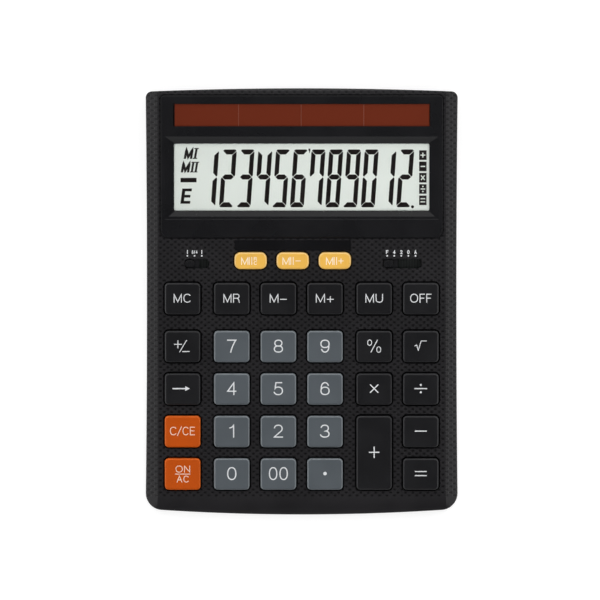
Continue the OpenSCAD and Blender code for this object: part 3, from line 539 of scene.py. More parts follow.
def triangulate(loops, lines=(), loose=(), outer=None, holes=()):
    """Triangles inside the outer loop and outside the holes, along every loop and line.
    Returns plan points, triangles, and for each point the index of the input point it was, or -1."""
    coords, edges = closed_edges(loops)
    for line in lines:
        n = len(coords)
        coords += list(line)
        edges += [(n + i, n + i + 1) for i in range(len(line) - 1)]
    xy, faces, middle, source = divide(coords + list(loose), edges, 1e-5)
    keep = inside(middle, outer if outer is not None else loops[0])
    for hole in holes:
        low, high = hole.min(0), hole.max(0)
        near = keep & (middle > low).all(1) & (middle < high).all(1)
        keep[near] = ~inside(middle[near], hole)
    return xy, faces[keep], np.array([s[0] if s else -1 for s in source])


def border(faces):
    """Edges that only one triangle has."""
    seen = {}
    for f in faces:
        for i in range(3):
            a, b = int(f[i]), int(f[(i + 1) % 3])
            seen[tuple(sorted((a, b)))] = (a, b) if tuple(sorted((a, b))) not in seen else None
    return [e for e in seen.values() if e]


# ---------------------------------------------------------------- materials

SHADE = 0.3                  # how dark a shaded spot is, as a share of the colour
HIGHLIGHT_PATCH_SCALE, HIGHLIGHT_PATCH_LEAST = 420, 0.72   # the size of the patches in the painted edge highlight, and how strong the weakest of them are


def tinted(colour, share):
    """A lighter or darker colour."""
    return (*(min(c * share, 1) for c in colour[:3]), 1)


def finish(name, colour, rough, *, tone=0.08, tone_scale=60, grain=0.01, grain_scale=2500, rough_play=0.05,
           relief=None, shade=None, rim_highlight=None, gloss=0.5, **sockets):
    """A moulded or coated finish: slow changes of tone, fine grain, and uneven roughness.
    relief is a function of the tree that gives a height in millimetres; shade gives a factor on the colour.
    The colour for the edges that a mesh marks in its layer "edge" is a painted highlight; gloss is the specular
    level."""
    made = bpy.data.materials.new(name)
    t = Tree(made)
    shader = t.nodes["Principled BSDF"]
    colour, where = srgb(*colour), t.put("ShaderNodeTexCoord").outputs["Object"]
    slow = t.put("ShaderNodeTexNoise", where, None, tone_scale, 3.0)
    paint = t.blend(t.ramp(slow, 0.35, 0.65), tinted(colour, 1 - tone), tinted(colour, 1 + tone))
    if shade:
        paint = t.blend(shade(t, where), tinted(colour, SHADE), paint)
    # A painted highlight along the edges that the layer "edge" marks, in uneven patches
    if rim_highlight:
        edge = t.put("ShaderNodeAttribute", attribute_name="edge").outputs["Fac"]
        highlight_patches = t.ramp(t.put("ShaderNodeTexNoise", where, None, HIGHLIGHT_PATCH_SCALE, 3.0), 0.3, 0.6, HIGHLIGHT_PATCH_LEAST, 1.0)
        paint = t.blend(t.math("MULTIPLY", edge, highlight_patches), paint, srgb(*rim_highlight))
    t.give(shader.inputs["Base Color"], paint)
    fine = t.put("ShaderNodeTexNoise", where, None, grain_scale, 2.0)
    t.give(shader.inputs["Roughness"], t.ramp(slow, 0.3, 0.7, rough - rough_play, rough + rough_play))
    height = t.math("MULTIPLY", fine, grain)
    if relief:
        height = t.math("ADD", height, relief(t, where))
    t.give(shader.inputs["Normal"], t.put("ShaderNodeBump", 1.0, MM, None, height))
    for key, value in {"Specular IOR Level": gloss, **sockets}.items():
        shader.inputs[key].default_value = value
    return made


LATTICE = (3.52, 2.83)       # the deck's texture repeats after this much across and along, in millimetres
SMOOTH_FRONT, SMOOTH_FADE = 8.5, 0.6   # the front of the deck is smooth for this much, and the texture fades in
DIMPLE = 0.22                # depth of the texture's dimples


def lattice(t, where):
    """The deck's texture, from 1 in its dimples to -1 on the knots between them, and where it lies."""
    x, y, _ = t.put("ShaderNodeSeparateXYZ", where).outputs
    cells = t.math("MULTIPLY", *[t.math("COSINE", t.math("MULTIPLY", axis, 2 * math.pi / (size * MM)))
                                 for axis, size in zip((x, y), LATTICE)])
    edge = -CASE_D / 2 + SMOOTH_FRONT
    mask = t.ramp(y, (edge - SMOOTH_FADE) * MM, (edge + SMOOTH_FADE) * MM)
    facing = t.put("ShaderNodeSeparateXYZ", t.put("ShaderNodeTexCoord").outputs["Normal"]).outputs[2]
    return cells, t.math("MULTIPLY", mask, t.ramp(facing, 0.4, 0.6))


def lattice_relief(t, where):
    cells, mask = lattice(t, where)
    return t.math("MULTIPLY", t.ramp(cells, 0.75, -0.1, -DIMPLE, 0.0), mask)


def lattice_shade(t, where):
    cells, mask = lattice(t, where)
    return t.math("SUBTRACT", 1.0, t.math("MULTIPLY", t.ramp(cells, 0.1, 0.9), mask))


CASE = finish("case_plastic", (33, 32, 34), 0.42, grain=0.006, relief=lattice_relief,
              shade=lattice_shade, gloss=0.2)
# Near black for the walls of the case's openings: painted shade in the gaps round keys, switches, label and
# bezel
OPENING_SHADE = finish("case_opening_shade", (12, 12, 13), 0.6, grain=0.008, gloss=0.2)
GLOSS = finish("bezel_gloss", (25, 25, 27), 0.18, grain=0.0008, grain_scale=900, rough_play=0.03, gloss=0.35)
# The last colour of each key is a painted highlight along its upper edge
BLACK = finish("key_black", (25, 25, 27), 0.33, grain=0.004, rim_highlight=(54, 54, 56), gloss=0.25)
GREY = finish("key_grey", (78, 84, 89), 0.33, grain=0.004, tone=0.03, rim_highlight=(138, 144, 148), gloss=0.25)
ORANGE = finish("key_orange", (184, 76, 12), 0.34, grain=0.004, tone=0.03, rim_highlight=(218, 108, 48), gloss=0.05)
YELLOW = finish("key_yellow", (232, 180, 80), 0.32, grain=0.004, tone=0.03, rim_highlight=(255, 222, 158), gloss=0.1)
# Near black for each key's part under the deck: painted shade for the deep gap round the key
SKIRT_SHADE = finish("key_skirt_shade", (9, 9, 10), 0.6, grain=0.004, gloss=0.15)


# ---------------------------------------------------------------- top case

KEYS = sorted(n for n in frame["nodes"] if n.startswith("key_"))


def is_small(node):
    return node.startswith("key_mii")


def key_radius(node):
    return SMALL_KEY_R if is_small(node) else KEY_R


def deck_openings():
    """Low corner, high corner, radius and edge rounding of every opening through the deck, in its frame."""
    rows = []
    for node in KEYS:
        low, high = span(node, DECK, CAP_FROM)
        mouth = SMALL_MOUTH_R if is_small(node) else MOUTH_R
        rows.append((low[:2] - KEY_GAP, high[:2] + KEY_GAP, key_radius(node) + KEY_GAP, mouth))
    for name in ("rounding", "decimal"):
        low, high = span(name + "_switch_knob", DECK, CAP_FROM)
        rows.append((low[:2] - KNOB_GAP, high[:2] + KNOB_GAP + np.array((travel(name + "_switch_slide"), 0)),
                     SLOT_R, MOUTH_R))
    return rows


def chain(edges):
    """Directed edges as closed loops of point numbers."""
    after, loops = dict(edges), []
    while after:
        start, loop = next(iter(after)), []
        at = start
        while at in after:
            loop.append(at)
            at = after.pop(at)
        loops.append(loop)
    return loops


def islands(node):
    """Low corner, high corner and middle, in millimetres, of each separate solid of a CAD node."""
    mesh = frame["nodes"][node].data
    spots = [tuple(round(c, 6) for c in v.co) for v in mesh.vertices]
    root = {spot: spot for spot in spots}

    def find(spot):
        while root[spot] != spot:
            root[spot] = root[root[spot]]
            spot = root[spot]
        return spot
    for e in mesh.edges:
        root[find(spots[e.vertices[0]])] = find(spots[e.vertices[1]])
    groups = {}
    for spot in root:
        groups.setdefault(find(spot), []).append(spot)
    ends = [(np.min(g, 0) / MM, np.max(g, 0) / MM) for g in groups.values()]
    return [(low, high, (low + high) / 2) for low, high in ends]


# Bosses of the case's screws and posts of the board's: radius, radius of the bore, and the bore's depth
BOSS_R, BOSS_BORE, BOSS_DEPTH = 2.75, 1.3, 6.2
POST_R, POST_BORE, POST_DEPTH = 1.8, 0.95, 3.8
BOSS_FOOT = 8                # the level that the bosses end at
OVERLAP = 0.3                # how far a boss runs into the roof
FLAT = CASE_W / 2 - BEVEL_W  # half the width between the bevels
REACH = CASE_W / 2 + 1       # a little beyond the case's side
ON_LINE = 0.02               # a point this near to a line lies on it
TUB_R, SUN_GAP = 0.3, 0.25
# Loose points that fill the case's corners
CORNER_X = np.arange(65.2, 73.6, 0.8)
CORNER_Y = (*np.arange(-100.2, -89.5, 0.8), *np.arange(97.2, 100.4, 0.6))


def upright(plan, level):
    """Points of the plan raised to a level."""
    return np.column_stack((plan, np.broadcast_to(level, len(plan))))


def add_post(b, middle, r, bore, place, foot, depth, roof):
    """A hollow boss under the case's roof. Place puts plan points at a level, roof gives the top's levels."""
    outer, hole = (middle + arc(0, 0, size, 0, 345, 23) for size in (r, bore))
    b.loft([place(outer, roof(outer)), place(outer, foot), place(hole, foot), place(hole, foot + depth)])


def roll_rows(slope, start, r, way, angles):
    """Where the rows of a rolled end lie in the plan, at angles from its start."""
    for a in np.radians(angles):
        v, w = start + way * r * math.sin(a), r * (math.cos(a) - 1)
        yield slope.y0 + v * slope.c - w * slope.s


def outer_lines(pocket_side):
    """Lines in the plan that the outer face's triangles keep to: its crease, its bevels and its rolled ends."""
    lines = [[(s * pocket_side, DECK.y0), (s * REACH, DECK.y0)] for s in (-1, 1)]
    lines += [[(s * (FLAT + step * BEVEL_SOFT), end * (CASE_D / 2 + 1)) for end in (-1, 1)]
              for s in (-1, 1) for step in (-1, -0.5, 0, 0.5, 1)]
    ends = (*roll_rows(DECK, FRONT_ROLL_V, FRONT_ROLL_R, -1, range(0, 37, 4)),
            *roll_rows(HEAD, REAR_ROLL_V, REAR_ROLL_R, 1, (14, 22, 30, 38, 46, 54, 62, 65)))
    return lines + [[(-REACH, y), (REACH, y)] for y in ends]


def rim(xy, faces, outline):
    """The loop of point numbers along which triangles end at an outline."""
    return max(chain(e for e in border(faces) if gap_to(xy[list(e)], outline).max() < ON_LINE), key=len)


def make_top_case():
    b = Build()
    for _, _, middle in islands("case_screws"):
        add_post(b, middle[:2], BOSS_R, BOSS_BORE, upright, BOSS_FOOT, BOSS_DEPTH,
                 lambda ring: surface(ring, WALL) + OVERLAP)
    board_top = span("keyboard_board", DECK)[1][2]
    for _, _, middle in islands("board_screws"):
        add_post(b, DECK.into(middle)[:2], POST_R, POST_BORE, DECK.lift, board_top, POST_DEPTH,
                 lambda ring: OVERLAP - WALL)
    edges = [case_outline(g) for g, _ in rounding(EDGE_R)]
    holes, loops, lowered = [], list(edges), [np.zeros((len(r), 3)) for r in edges]

    def open_up(slope, low, high, front_r, rear_r, mouth, bottom):
        """Cuts an opening with a rounded mouth, and lines it down to its bottom."""
        for inset, drop in rounding(mouth):
            ring = round_box(low, high, front_r, rear_r, inset, sides=2)
            loops.append(slope.lift(ring)[:, :2])
            lowered.append(np.tile(slope.normal * drop, (len(ring), 1)))
        ring = round_box(low, high, front_r, rear_r, sides=2)
        plan = slope.lift(ring)[:, :2]
        # The opening's wall takes the second, near-black material: painted shade
        b.strip(upright(plan, surface(plan)) - slope.normal * mouth, slope.lift(ring, bottom), kind=1)
        holes.append(plan)
        return ring

    through = [open_up(DECK, low, high, r, r, mouth, -WALL) for low, high, r, mouth in deck_openings()]
    low, high = span("label_strip", DECK)
    label = open_up(DECK, low - FIT, high + FIT, LABEL_R, LABEL_R, LABEL_MOUTH_R, low[2])
    b.add(DECK.lift(label, low[2]), [range(len(label))])
    low, high = span("display_bezel", HEAD, -1.0)
    pocket = open_up(HEAD, low - BEZEL_GAP, high + BEZEL_GAP, BEZEL_FRONT_R + BEZEL_GAP,
                     BEZEL_REAR_R + BEZEL_GAP, MOUTH_R, -POCKET)

    # The outer face, with its edge and the openings' mouths rounded
    corners = np.array([(s * x, y) for s in (-1, 1) for x in CORNER_X for y in CORNER_Y])
    corners = corners[inside(corners, case_outline(EDGE_R + 0.2))]
    xy, faces, source = triangulate(loops, outer_lines(high[0] + BEZEL_GAP + MOUTH_R + ON_LINE), corners,
                                    case_outline(-0.01), holes)
    gap = np.minimum(gap_to(xy, edges[0]), EDGE_R)
    fall = EDGE_R - np.sqrt(np.maximum(EDGE_R ** 2 - (EDGE_R - gap) ** 2, 0))
    points = upright(xy, surface(xy) - fall)
    shift = np.vstack(lowered)
    known = (source >= 0) & (source < len(shift))
    points[known] -= shift[source[known]]
    b.add(points, faces)
    ring = rim(xy, faces, edges[0])
    skirt = upright(xy[ring], PARTING)
    b.strip(points[ring], skirt)

    # The pocket's floor, which the bezel's tub and the solar cell pass through
    low, high = span("display_bezel", HEAD, under=TUB_FROM)
    tub = round_box(low - BEZEL_GAP, high + BEZEL_GAP, TUB_R)
    low, high = span("solar_cell", HEAD)
    sun = round_box(low - SUN_GAP, high + SUN_GAP, TUB_R)
    floor_cuts, inner_cuts = ([HEAD.lift(loop, level) for loop in (tub, sun)] for level in (-POCKET, -WALL))
    cuts = [c[:, :2] for c in floor_cuts]
    xy, faces, _ = triangulate([HEAD.lift(pocket, -POCKET)[:, :2], *cuts], holes=cuts)
    b.add(upright(xy, HEAD.z0 + (xy[:, 1] - HEAD.y0) * HEAD.s / HEAD.c - POCKET / HEAD.c), faces)
    for upper, lower in zip(floor_cuts, inner_cuts):
        b.strip(upper, lower)

    # The inner face, and the rim at the parting line
    cuts = [c[:, :2] for c in [DECK.lift(loop, -WALL) for loop in through] + inner_cuts]
    outline = case_outline(WALL)
    side, end = FLAT - WALL * BEVEL_STEP, CASE_D / 2 - WALL - 2
    lines = [[(-REACH, DECK.y0), (REACH, DECK.y0)]]
    lines += [[(s * (side + step), -end), (s * (side + step), end)] for s in (-1, 1) for step in (-0.3, 0.3)]
    xy, faces, _ = triangulate([outline, *cuts], lines, outer=case_outline(WALL - 0.01), holes=cuts)
    points = upright(xy, surface(xy, WALL))
    b.add(points, faces)
    ring = rim(xy, faces, outline)
    foot = upright(xy[ring], PARTING)
    b.strip(points[ring], foot)
    xy, faces, _ = triangulate([skirt[:, :2], foot[:, :2]], holes=[foot[:, :2]])
    b.add(upright(xy, PARTING), faces)
    return b.finish("top_case_shell", [CASE, OPENING_SHADE], "case", "case_plastic", ["top_case"], merge=5e-4)


make_top_case()


# ---------------------------------------------------------------- keys

CAP_EDGE = 0.95              # a key's upper edge takes this much of each side
# The edge's rows: how far in from the key's side, and how far below its top
CAP_EDGE_ROWS = ((0.86, 0.012), (0.78, 0.045), (0.70, 0.1), (0.52, 0.235), (0.34, 0.375), (0.265, 0.46),
                 (0.205, 0.58), (0.165, 0.75), (0.15, 1.0))
CAP_DISH = 0.25              # depth of the dished top
CAP_SHARES = (0.03, 0.15, 0.28, 0.4, 0.5, 0.6, 0.68, 0.75, 0.82, 0.9, 0.96, 1)   # the dish's rings
CAP_WALL, CAP_TOP_T, CAP_POST_R = 1.2, 1.4, 1.6
FLANGE_W, FLANGE_T, FLANGE_TOP = 0.8, 0.9, -WALL - 0.3
HOME_DISH, HOME_DISH_R = 0.14, 5.6   # the home key's deeper dish
# The painted highlight along a key's upper edge: how far in its middle line lies, half its width, its lowest
# level, and its strength at the left, the front, the right and the rear, which follows where the light comes
# from
HIGHLIGHT_IN, HIGHLIGHT_W, HIGHLIGHT_FROM, HIGHLIGHT_SIDES = 0.42, 0.46, 1.1, (1.0, 0.2, 0.8, 0.9)
KEY_LOOKS = {"key_grey": (GREY, ("0", "00", "1", "2", "3", "4", "5", "6", "7", "8", "9", "point")),
             "key_orange": (ORANGE, ("clear_entry", "on_clear")),
             "key_yellow": (YELLOW, ("mii_recall", "mii_minus", "mii_plus"))}


class Cap:
    """A key's plan, and the height of its dished top, in the deck's frame."""

    def __init__(self, node):
        low, high = span(node, DECK, CAP_FROM)
        self.node, self.low, self.high, self.top, self.r = node, low[:2], high[:2], high[2], key_radius(node)
        self.middle = (self.low + self.high) / 2
        self.flat = (self.high - self.low) / 2 - CAP_EDGE

    def level(self, xy):
        q = (xy - self.middle) / self.flat
        dish = CAP_DISH * np.clip(1 - q[:, 0] ** 2, 0, 1) * np.clip(1 - q[:, 1] ** 2, 0, 1)
        if self.node == "key_5":
            r = np.hypot(*(xy - self.middle).T) / HOME_DISH_R
            dish += HOME_DISH * np.clip(1 - r ** 2, 0, 1)
        return self.top - dish

    def ring(self, inset):
        return round_box(self.low, self.high, self.r, grow=-inset, sides=6)

    def make(self, slot, material):
        edge = self.ring(CAP_EDGE)
        rings = [self.middle + (edge - self.middle) * share for share in CAP_SHARES]
        rings = [DECK.lift(ring, self.level(ring)) for ring in rings]
        foot = FLANGE_TOP - FLANGE_T
        rows = [(-inset, self.top - drop) for inset, drop in CAP_EDGE_ROWS]
        rows += [(0, 0), (0, FLANGE_TOP), (FLANGE_W - 0.1, FLANGE_TOP), (FLANGE_W, FLANGE_TOP - 0.1),
                 (FLANGE_W, foot), (-CAP_WALL, foot), (-CAP_WALL, self.top - CAP_TOP_T)]
        b = Build()
        b.loft(rings + stack(DECK, self.low, self.high, self.r, rows, sides=6))
        points = np.vstack(b.points)
        # Faces under the deck take the second, near-black material: painted shade
        b.kinds = [int(DECK.into(points[f].mean(0))[2] < -0.3) for f in b.faces]
        post = self.middle + arc(0, 0, CAP_POST_R, 0, 345, 23)
        b.loft([DECK.lift(post, foot), DECK.lift(post, self.top - CAP_TOP_T + 0.2)])
        piece = b.finish("cap_" + self.node[4:], [material, SKIRT_SHADE], self.node, slot, [self.node])
        # The layer "edge" holds a painted highlight along the key's upper edge, weighted by side
        at = points_of(piece.data, DECK)
        rub = np.clip(1 - np.abs(gap_to(at[:, :2], self.ring(0)) - HIGHLIGHT_IN) / HIGHLIGHT_W, 0, 1)
        rub[(at[:, 2] < HIGHLIGHT_FROM) | ~inside(at[:, :2], self.ring(0.01))] = 0
        reach = np.column_stack((at[:, :2] - self.low, self.high - at[:, :2]))
        rub *= np.array(HIGHLIGHT_SIDES)[reach.argmin(1)]
        piece.data.attributes.new("edge", "FLOAT", "POINT").data.foreach_set("value", rub)


CAPS = {}
for node in KEYS:
    CAPS[node] = Cap(node)
    slot, (material, _) = next(((s, look) for s, look in KEY_LOOKS.items() if node[4:] in look[1]),
                               ("key_black", (BLACK, ())))
    CAPS[node].make(slot, material)


# ---------------------------------------------------------------- printed legends

PRINT = finish("legend_print", (216, 218, 220), 0.5, tone=0.03, grain=0.002)
WARM_PRINT = finish("legend_print_warm", (250, 232, 204), 0.5, tone=0.02, grain=0.002)
ROSE_PRINT = finish("legend_print_rose", (238, 206, 184), 0.5, tone=0.02, grain=0.002)
INK_UP, INK_DOWN = 0.02, 0.06   # how far the print stands off its face, and how deep it goes


OVAL_POWER = 2.25            # 2 is an ellipse, and more is squarer


def bow(cx, cy, rx, ry, a0, a1, steps=14):
    """Part of a rounded oval, as points."""
    a = np.radians(np.linspace(a0, a1, steps + 1))
    c, s = np.cos(a), np.sin(a)
    x, y = (np.sign(k) * np.abs(k) ** (2 / OVAL_POWER) for k in (c, s))
    return list(zip(cx + rx * x, cy + ry * y))


# Middle lines of each sign's strokes in a box of one by one, after its width for a height of one
GLYPHS = {
    "0": (0.71, [bow(0.5, 0.5, 0.5, 0.5, 0, 360, 28)]),
    "1": (0.36, [[(0, 0.77), (0.55, 0.82), (1, 1), (1, 0)]]),
    "2": (0.71, [bow(0.49, 0.71, 0.47, 0.29, 168, -38) + [(0.04, 0.03), (0, 0), (1, 0)]]),
    "3": (0.71, [bow(0.47, 0.745, 0.44, 0.255, 165, -90) + bow(0.47, 0.255, 0.53, 0.255, 80, -165)]),
    "4": (0.71, [[(0.76, 0), (0.76, 1), (0, 0.28), (1, 0.28)]]),
    "5": (0.71, [[(0.9, 1), (0.2, 1), (0.08, 0.47)] + bow(0.48, 0.31, 0.52, 0.32, 128, -160)]),
    "6": (0.71, [bow(0.5, 0.31, 0.5, 0.31, 0, 360, 28), bow(0.5, 0.5, 0.47, 0.5, 32, 176)]),
    "7": (0.71, [[(0, 1), (1, 1), (0.82, 0.8), (0.6, 0.48), (0.45, 0.2), (0.38, 0)]]),
    "8": (0.71, [bow(0.5, 0.75, 0.43, 0.25, 0, 360, 28), bow(0.5, 0.255, 0.5, 0.255, 0, 360, 28)]),
    "9": (0.71, [bow(0.5, 0.69, 0.5, 0.31, 0, 360, 28), bow(0.5, 0.5, 0.47, 0.5, 212, 356)]),
    "A": (0.8, [[(0, 0), (0.5, 1), (1, 0)], [(0.19, 0.35), (0.81, 0.35)]]),
    "C": (0.8, [bow(0.52, 0.5, 0.52, 0.5, 42, 318, 24)]),
    "E": (0.62, [[(1, 1), (0, 1), (0, 0), (1, 0)], [(0, 0.52), (0.88, 0.52)]]),
    "F": (0.58, [[(0, 0), (0, 1), (1, 1)], [(0, 0.5), (0.85, 0.5)]]),
    "I": (0.1, [[(0.5, 0), (0.5, 1)]]),
    "M": (0.86, [[(0, 0), (0, 1), (0.5, 0.04), (1, 1), (1, 0)]]),
    "N": (0.74, [[(0, 0), (0, 1), (1, 0), (1, 1)]]),
    "O": (0.88, [bow(0.5, 0.5, 0.5, 0.5, 0, 360, 28)]),
    "P": (0.66, [[(0, 0), (0, 1), (0.6, 1)] + bow(0.6, 0.735, 0.4, 0.265, 90, -90) + [(0, 0.47)]]),
    "R": (0.72, [[(0, 0), (0, 1), (0.55, 1)] + bow(0.58, 0.75, 0.36, 0.25, 80, -90) + [(0, 0.5)],
                 [(0.62, 0.48), (0.86, 0.36), (0.92, 0.12), (1, 0)]]),
    "U": (0.74, [[(0, 1), (0, 0.4)] + bow(0.5, 0.34, 0.5, 0.34, 180, 360) + [(1, 0.4), (1, 1)]]),
    "/": (0.4, [[(0, 0), (1, 1)]]),
    "-": (0.66, [[(0, 0.36), (1, 0.36)]]),
    "+": (0.66, [[(0, 0.36), (1, 0.36)], [(0.5, 0.03), (0.5, 0.69)]]),
    "^": (0.5, [[(0.5, 0), (0.5, 1)], [(0.1, 0.62), (0.5, 1), (0.9, 0.62)]]),
    "_": (0.5, [[(0.5, 1), (0.5, 0)], [(0.1, 0.38), (0.5, 0), (0.9, 0.38)]]),
}
LETTER_GAP = 0.17            # between letters, for a height of one
INK_STEP = 1.1               # longest side of a print's faces, so that they follow a dished top


def stroke(points, width, capped=True):
    """Quads along a line, with mitred corners. A line that ends where it starts is closed."""
    p = np.asarray(points, float)
    closed = len(p) > 2 and np.hypot(*(p[0] - p[-1])) < 1e-6
    if capped and not closed:
        for end, inner in ((0, 1), (-1, -2)):
            d = p[end] - p[inner]
            p[end] += d / np.hypot(*d) * width / 2
    fine = [p[0]]
    for a, b in zip(p, p[1:]):
        n = max(1, math.ceil(np.hypot(*(b - a)) / INK_STEP))
        fine += [a + (b - a) * k / n for k in range(1, n + 1)]
    p = np.array(fine[:-1] if closed else fine)
    after, before = np.roll(p, -1, 0) - p, p - np.roll(p, 1, 0)
    if not closed:
        after[-1], before[0] = before[-1], after[0]
    sides = [np.column_stack((-d[:, 1], d[:, 0])) / np.hypot(*d.T)[:, None] for d in (before, after)]
    mitre = sides[0] + sides[1]
    mitre /= np.maximum(np.hypot(*mitre.T), 1e-6)[:, None]
    mitre *= width / 2 / np.maximum((mitre * sides[1]).sum(1), 0.45)[:, None]
    left, right, n = p + mitre, p - mitre, len(p)
    return [np.array((right[i], right[(i + 1) % n], left[(i + 1) % n], left[i]))
            for i in range(n if closed else n - 1)]


def glyph(sign, x, y, width, height, line):
    """The strokes of a sign whose ink fills a box."""
    low = np.array((x, y)) + line / 2
    size = np.maximum(np.array((width, height)) - line, 0)
    return [q for points in GLYPHS[sign][1] for q in stroke(low + np.array(points) * size, line)]


def words(text, width, height, line, at=(0, 0)):
    """A row of signs with its ink as wide and tall as asked, centred on a point."""
    wide = [GLYPHS[c][0] + line / height * (c == "I") for c in text]
    scale = width / (sum(wide) + LETTER_GAP * (len(text) - 1))
    x, quads = at[0] - width / 2, []
    for c, w in zip(text, wide):
        quads += glyph(c, x, at[1] - height / 2, w * scale, height, line)
        x += (w + LETTER_GAP) * scale
    return quads


def bar(x0, y0, x1, y1):
    """An upright rectangle whose level sides have a point at every step."""
    n = max(1, math.ceil((x1 - x0) / INK_STEP))
    x = np.linspace(x0, x1, n + 1)
    return np.vstack((np.column_stack((x, np.full(n + 1, y0))), np.column_stack((x[::-1], np.full(n + 1, y1)))))


def cross_shape(x, y, arm, t):
    """A plus sign."""
    return [bar(x - arm, y - t / 2, x + arm, y + t / 2), bar(x - t / 2, y - arm, x + t / 2, y + arm)]


def dot(x, y, r, sides=20):
    return np.array((x, y)) + arc(0, 0, r, 0, 360 - 360 / sides, sides - 1)


def cover(shapes):
    """Triangles over closed outlines that may overlap."""
    xy, faces, middle, _ = divide(*closed_edges(shapes), 1e-4)
    faces = faces[np.any([inside(middle, shape) for shape in shapes], axis=0)]
    a, b, c = (xy[faces[:, i]] for i in range(3))
    area = np.abs((b[:, 0] - a[:, 0]) * (c[:, 1] - a[:, 1]) - (b[:, 1] - a[:, 1]) * (c[:, 0] - a[:, 0])) / 2
    return xy, faces[area > 1e-7]


def engrave(name, shapes, slope, level, material, body, up=INK_UP, down=INK_DOWN):
    """A thin solid print in the plan of the shapes, on a face whose height is a number or a function."""
    xy, faces = cover(shapes)
    w = level(xy) if callable(level) else np.full(len(xy), float(level))
    n = len(xy)
    b = Build()
    walls = [(i, n + i, n + j, j) for i, j in border(faces)]
    b.add(np.vstack((slope.lift(xy, w + up), slope.lift(xy, w - down))),
          faces.tolist() + [[n + i for i in f[::-1]] for f in faces.tolist()] + walls)
    return b.finish(name, material, body, sharp=20, merge=1e-4)


def key_signs():
    """The outlines of every key's legend, about the middle of the key."""
    fine, thin, digit = 0.36, 0.41, 0.55
    signs = {}
    for c in "023456789":
        signs[c] = words(c, 4.4, 6.2, digit)
    signs["1"] = words("1", 2.3, 6.2, digit)
    signs["00"] = words("00", 9.0, 6.2, digit)
    for name, text, width, shift in (("mc", "MC", 8.2, -0.1), ("mr", "MR", 7.8, -0.05),
                                     ("m_minus", "M-", 8.1, -0.05), ("m_plus", "M+", 8.5, -0.1),
                                     ("mu", "MU", 8.3, 0), ("off", "OFF", 10.1, 0)):
        signs[name] = words(text, width, 4.2, thin, (shift, 0))
    signs["clear_entry"] = [q for letter, x, width in (("C", -6.0, 3.2), ("C", 0, 2.95), ("E", 3.45, 2.4))
                            for q in glyph(letter, x, -1.95, width, 4.0, fine)]
    signs["clear_entry"] += stroke([(-2.45, -2.1), (-0.5, 2.2)], fine)
    signs["on_clear"] = (words("ON", 6.9, 3.3, fine, (0.1, 2.15)) + words("AC", 5.8, 3.2, fine, (0.1, -2.6))
                         + [bar(-3.6, -0.42, 3.7, -0.06)])
    signs["point"] = [dot(0, 0, 0.85)]
    signs["equals"] = [bar(-2.8, y - 0.25, 2.8, y + 0.25) for y in (-0.975, 0.975)]
    signs["minus"] = [bar(-2.85, -0.25, 2.85, 0.25)]
    signs["plus"] = [bar(-2.5, -0.25, 2.5, 0.25), bar(-0.25, -2.7, 0.25, 2.7)]
    signs["multiply"] = (stroke([(-1.95, -1.95), (1.95, 1.95)], 0.5, capped=False)
                         + stroke([(-1.95, 1.95), (1.95, -1.95)], 0.5, capped=False))
    signs["divide"] = [bar(-3, -0.25, 3, 0.25), dot(0, 1.75, 0.5), dot(0, -1.75, 0.5)]
    signs["backspace"] = [bar(-4.75, -0.3, 1.6, 0.3), np.array(((1.3, -1.1), (3.44, 0), (1.3, 1.1)))]
    signs["percent"] = [q for s in (-1, 1)
                        for q in stroke(bow(s * 2.15, -s * 1.65, 0.95, 1.3, 0, 360, 20), fine)]
    signs["percent"] += stroke([(-1.5, -2.8), (1.5, 2.8)], thin)
    signs["root"] = stroke([(-2.8, 0.1), (-1.95, 0.55), (-1.2, -2.05), (0.14, 2.45), (2.7, 2.45)], fine)
    signs["sign"] = (cross_shape(-2.2, 0.85, 1.9, thin) + [bar(-0.2, -2.8, 3.3, -2.35)]
                     + stroke([(-1.45, -2.9), (1.95, 2.85)], thin, capped=False))
    return signs


def small_signs():
    """The legends of the three small keys: M, two upright strokes, and a sign."""
    tall, line = 3.7, 0.4
    base = -tall / 2

    def memory_two(x, *strokes):
        bars = [bar(at - line / 2, base, at + line / 2, -base) for at in strokes]
        return glyph("M", x, base, 3.4, tall, line) + bars

    recall = glyph("R", 1.5, 0.1, 1.5, 1.75, 0.3) + glyph("C", 1.5, base, 1.5, 1.75, 0.3)
    return {"mii_recall": memory_two(-4.5, -0.65, 0.55) + recall,
            "mii_minus": memory_two(-4.85, -0.95, 0.25) + [bar(1.3, -0.2, 3.8, 0.2)],
            "mii_plus": memory_two(-4.2, -0.35, 0.8) + [bar(1.7, -0.2, 4.1, 0.2), bar(2.7, -1.2, 3.1, 1.2)]}


LEGEND_UP = 0.3              # the legends stand this far above the middle of their keys
for names, look, lift in ((key_signs(), PRINT, LEGEND_UP), (small_signs(), WARM_PRINT, 0.0)):
    for name, shapes in names.items():
        cap = CAPS["key_" + name]
        centre = cap.middle + (0, lift)
        material = ROSE_PRINT if name in KEY_LOOKS["key_orange"][1] else look
        engrave("legend_" + name, [s + centre for s in shapes], DECK, cap.level, material, cap.node)


# ---------------------------------------------------------------- display bezel

FRONT_LAND, MIDDLE_LAND, REAR_LAND, SIDE_LAND, SOLAR_LAND = 9, 4.9, 3.95, 2, 5.85
RECESS_SIDE, RECESS_END, RECESS_DEPTH = 4.35, 3.65, 2.2
SOLAR_D = 10.85
WINDOW_R = 0.7
BEZEL_EDGE_R = 0.5
bezel_low, bezel_high = span("display_bezel", HEAD, -POCKET - 0.1)
tub_low, tub_high = span("display_bezel", HEAD, under=-POCKET - 0.1)
BEZEL_TOP, TUB_LEVEL = bezel_high[2], tub_low[2]


def inset_box(low, high, left, front, right=None, rear=None):
    """Corners of a box drawn in from a larger one."""
    right, rear = left if right is None else right, front if rear is None else rear
    return np.array((low[0] + left, low[1] + front)), np.array((high[0] - right, high[1] - rear))


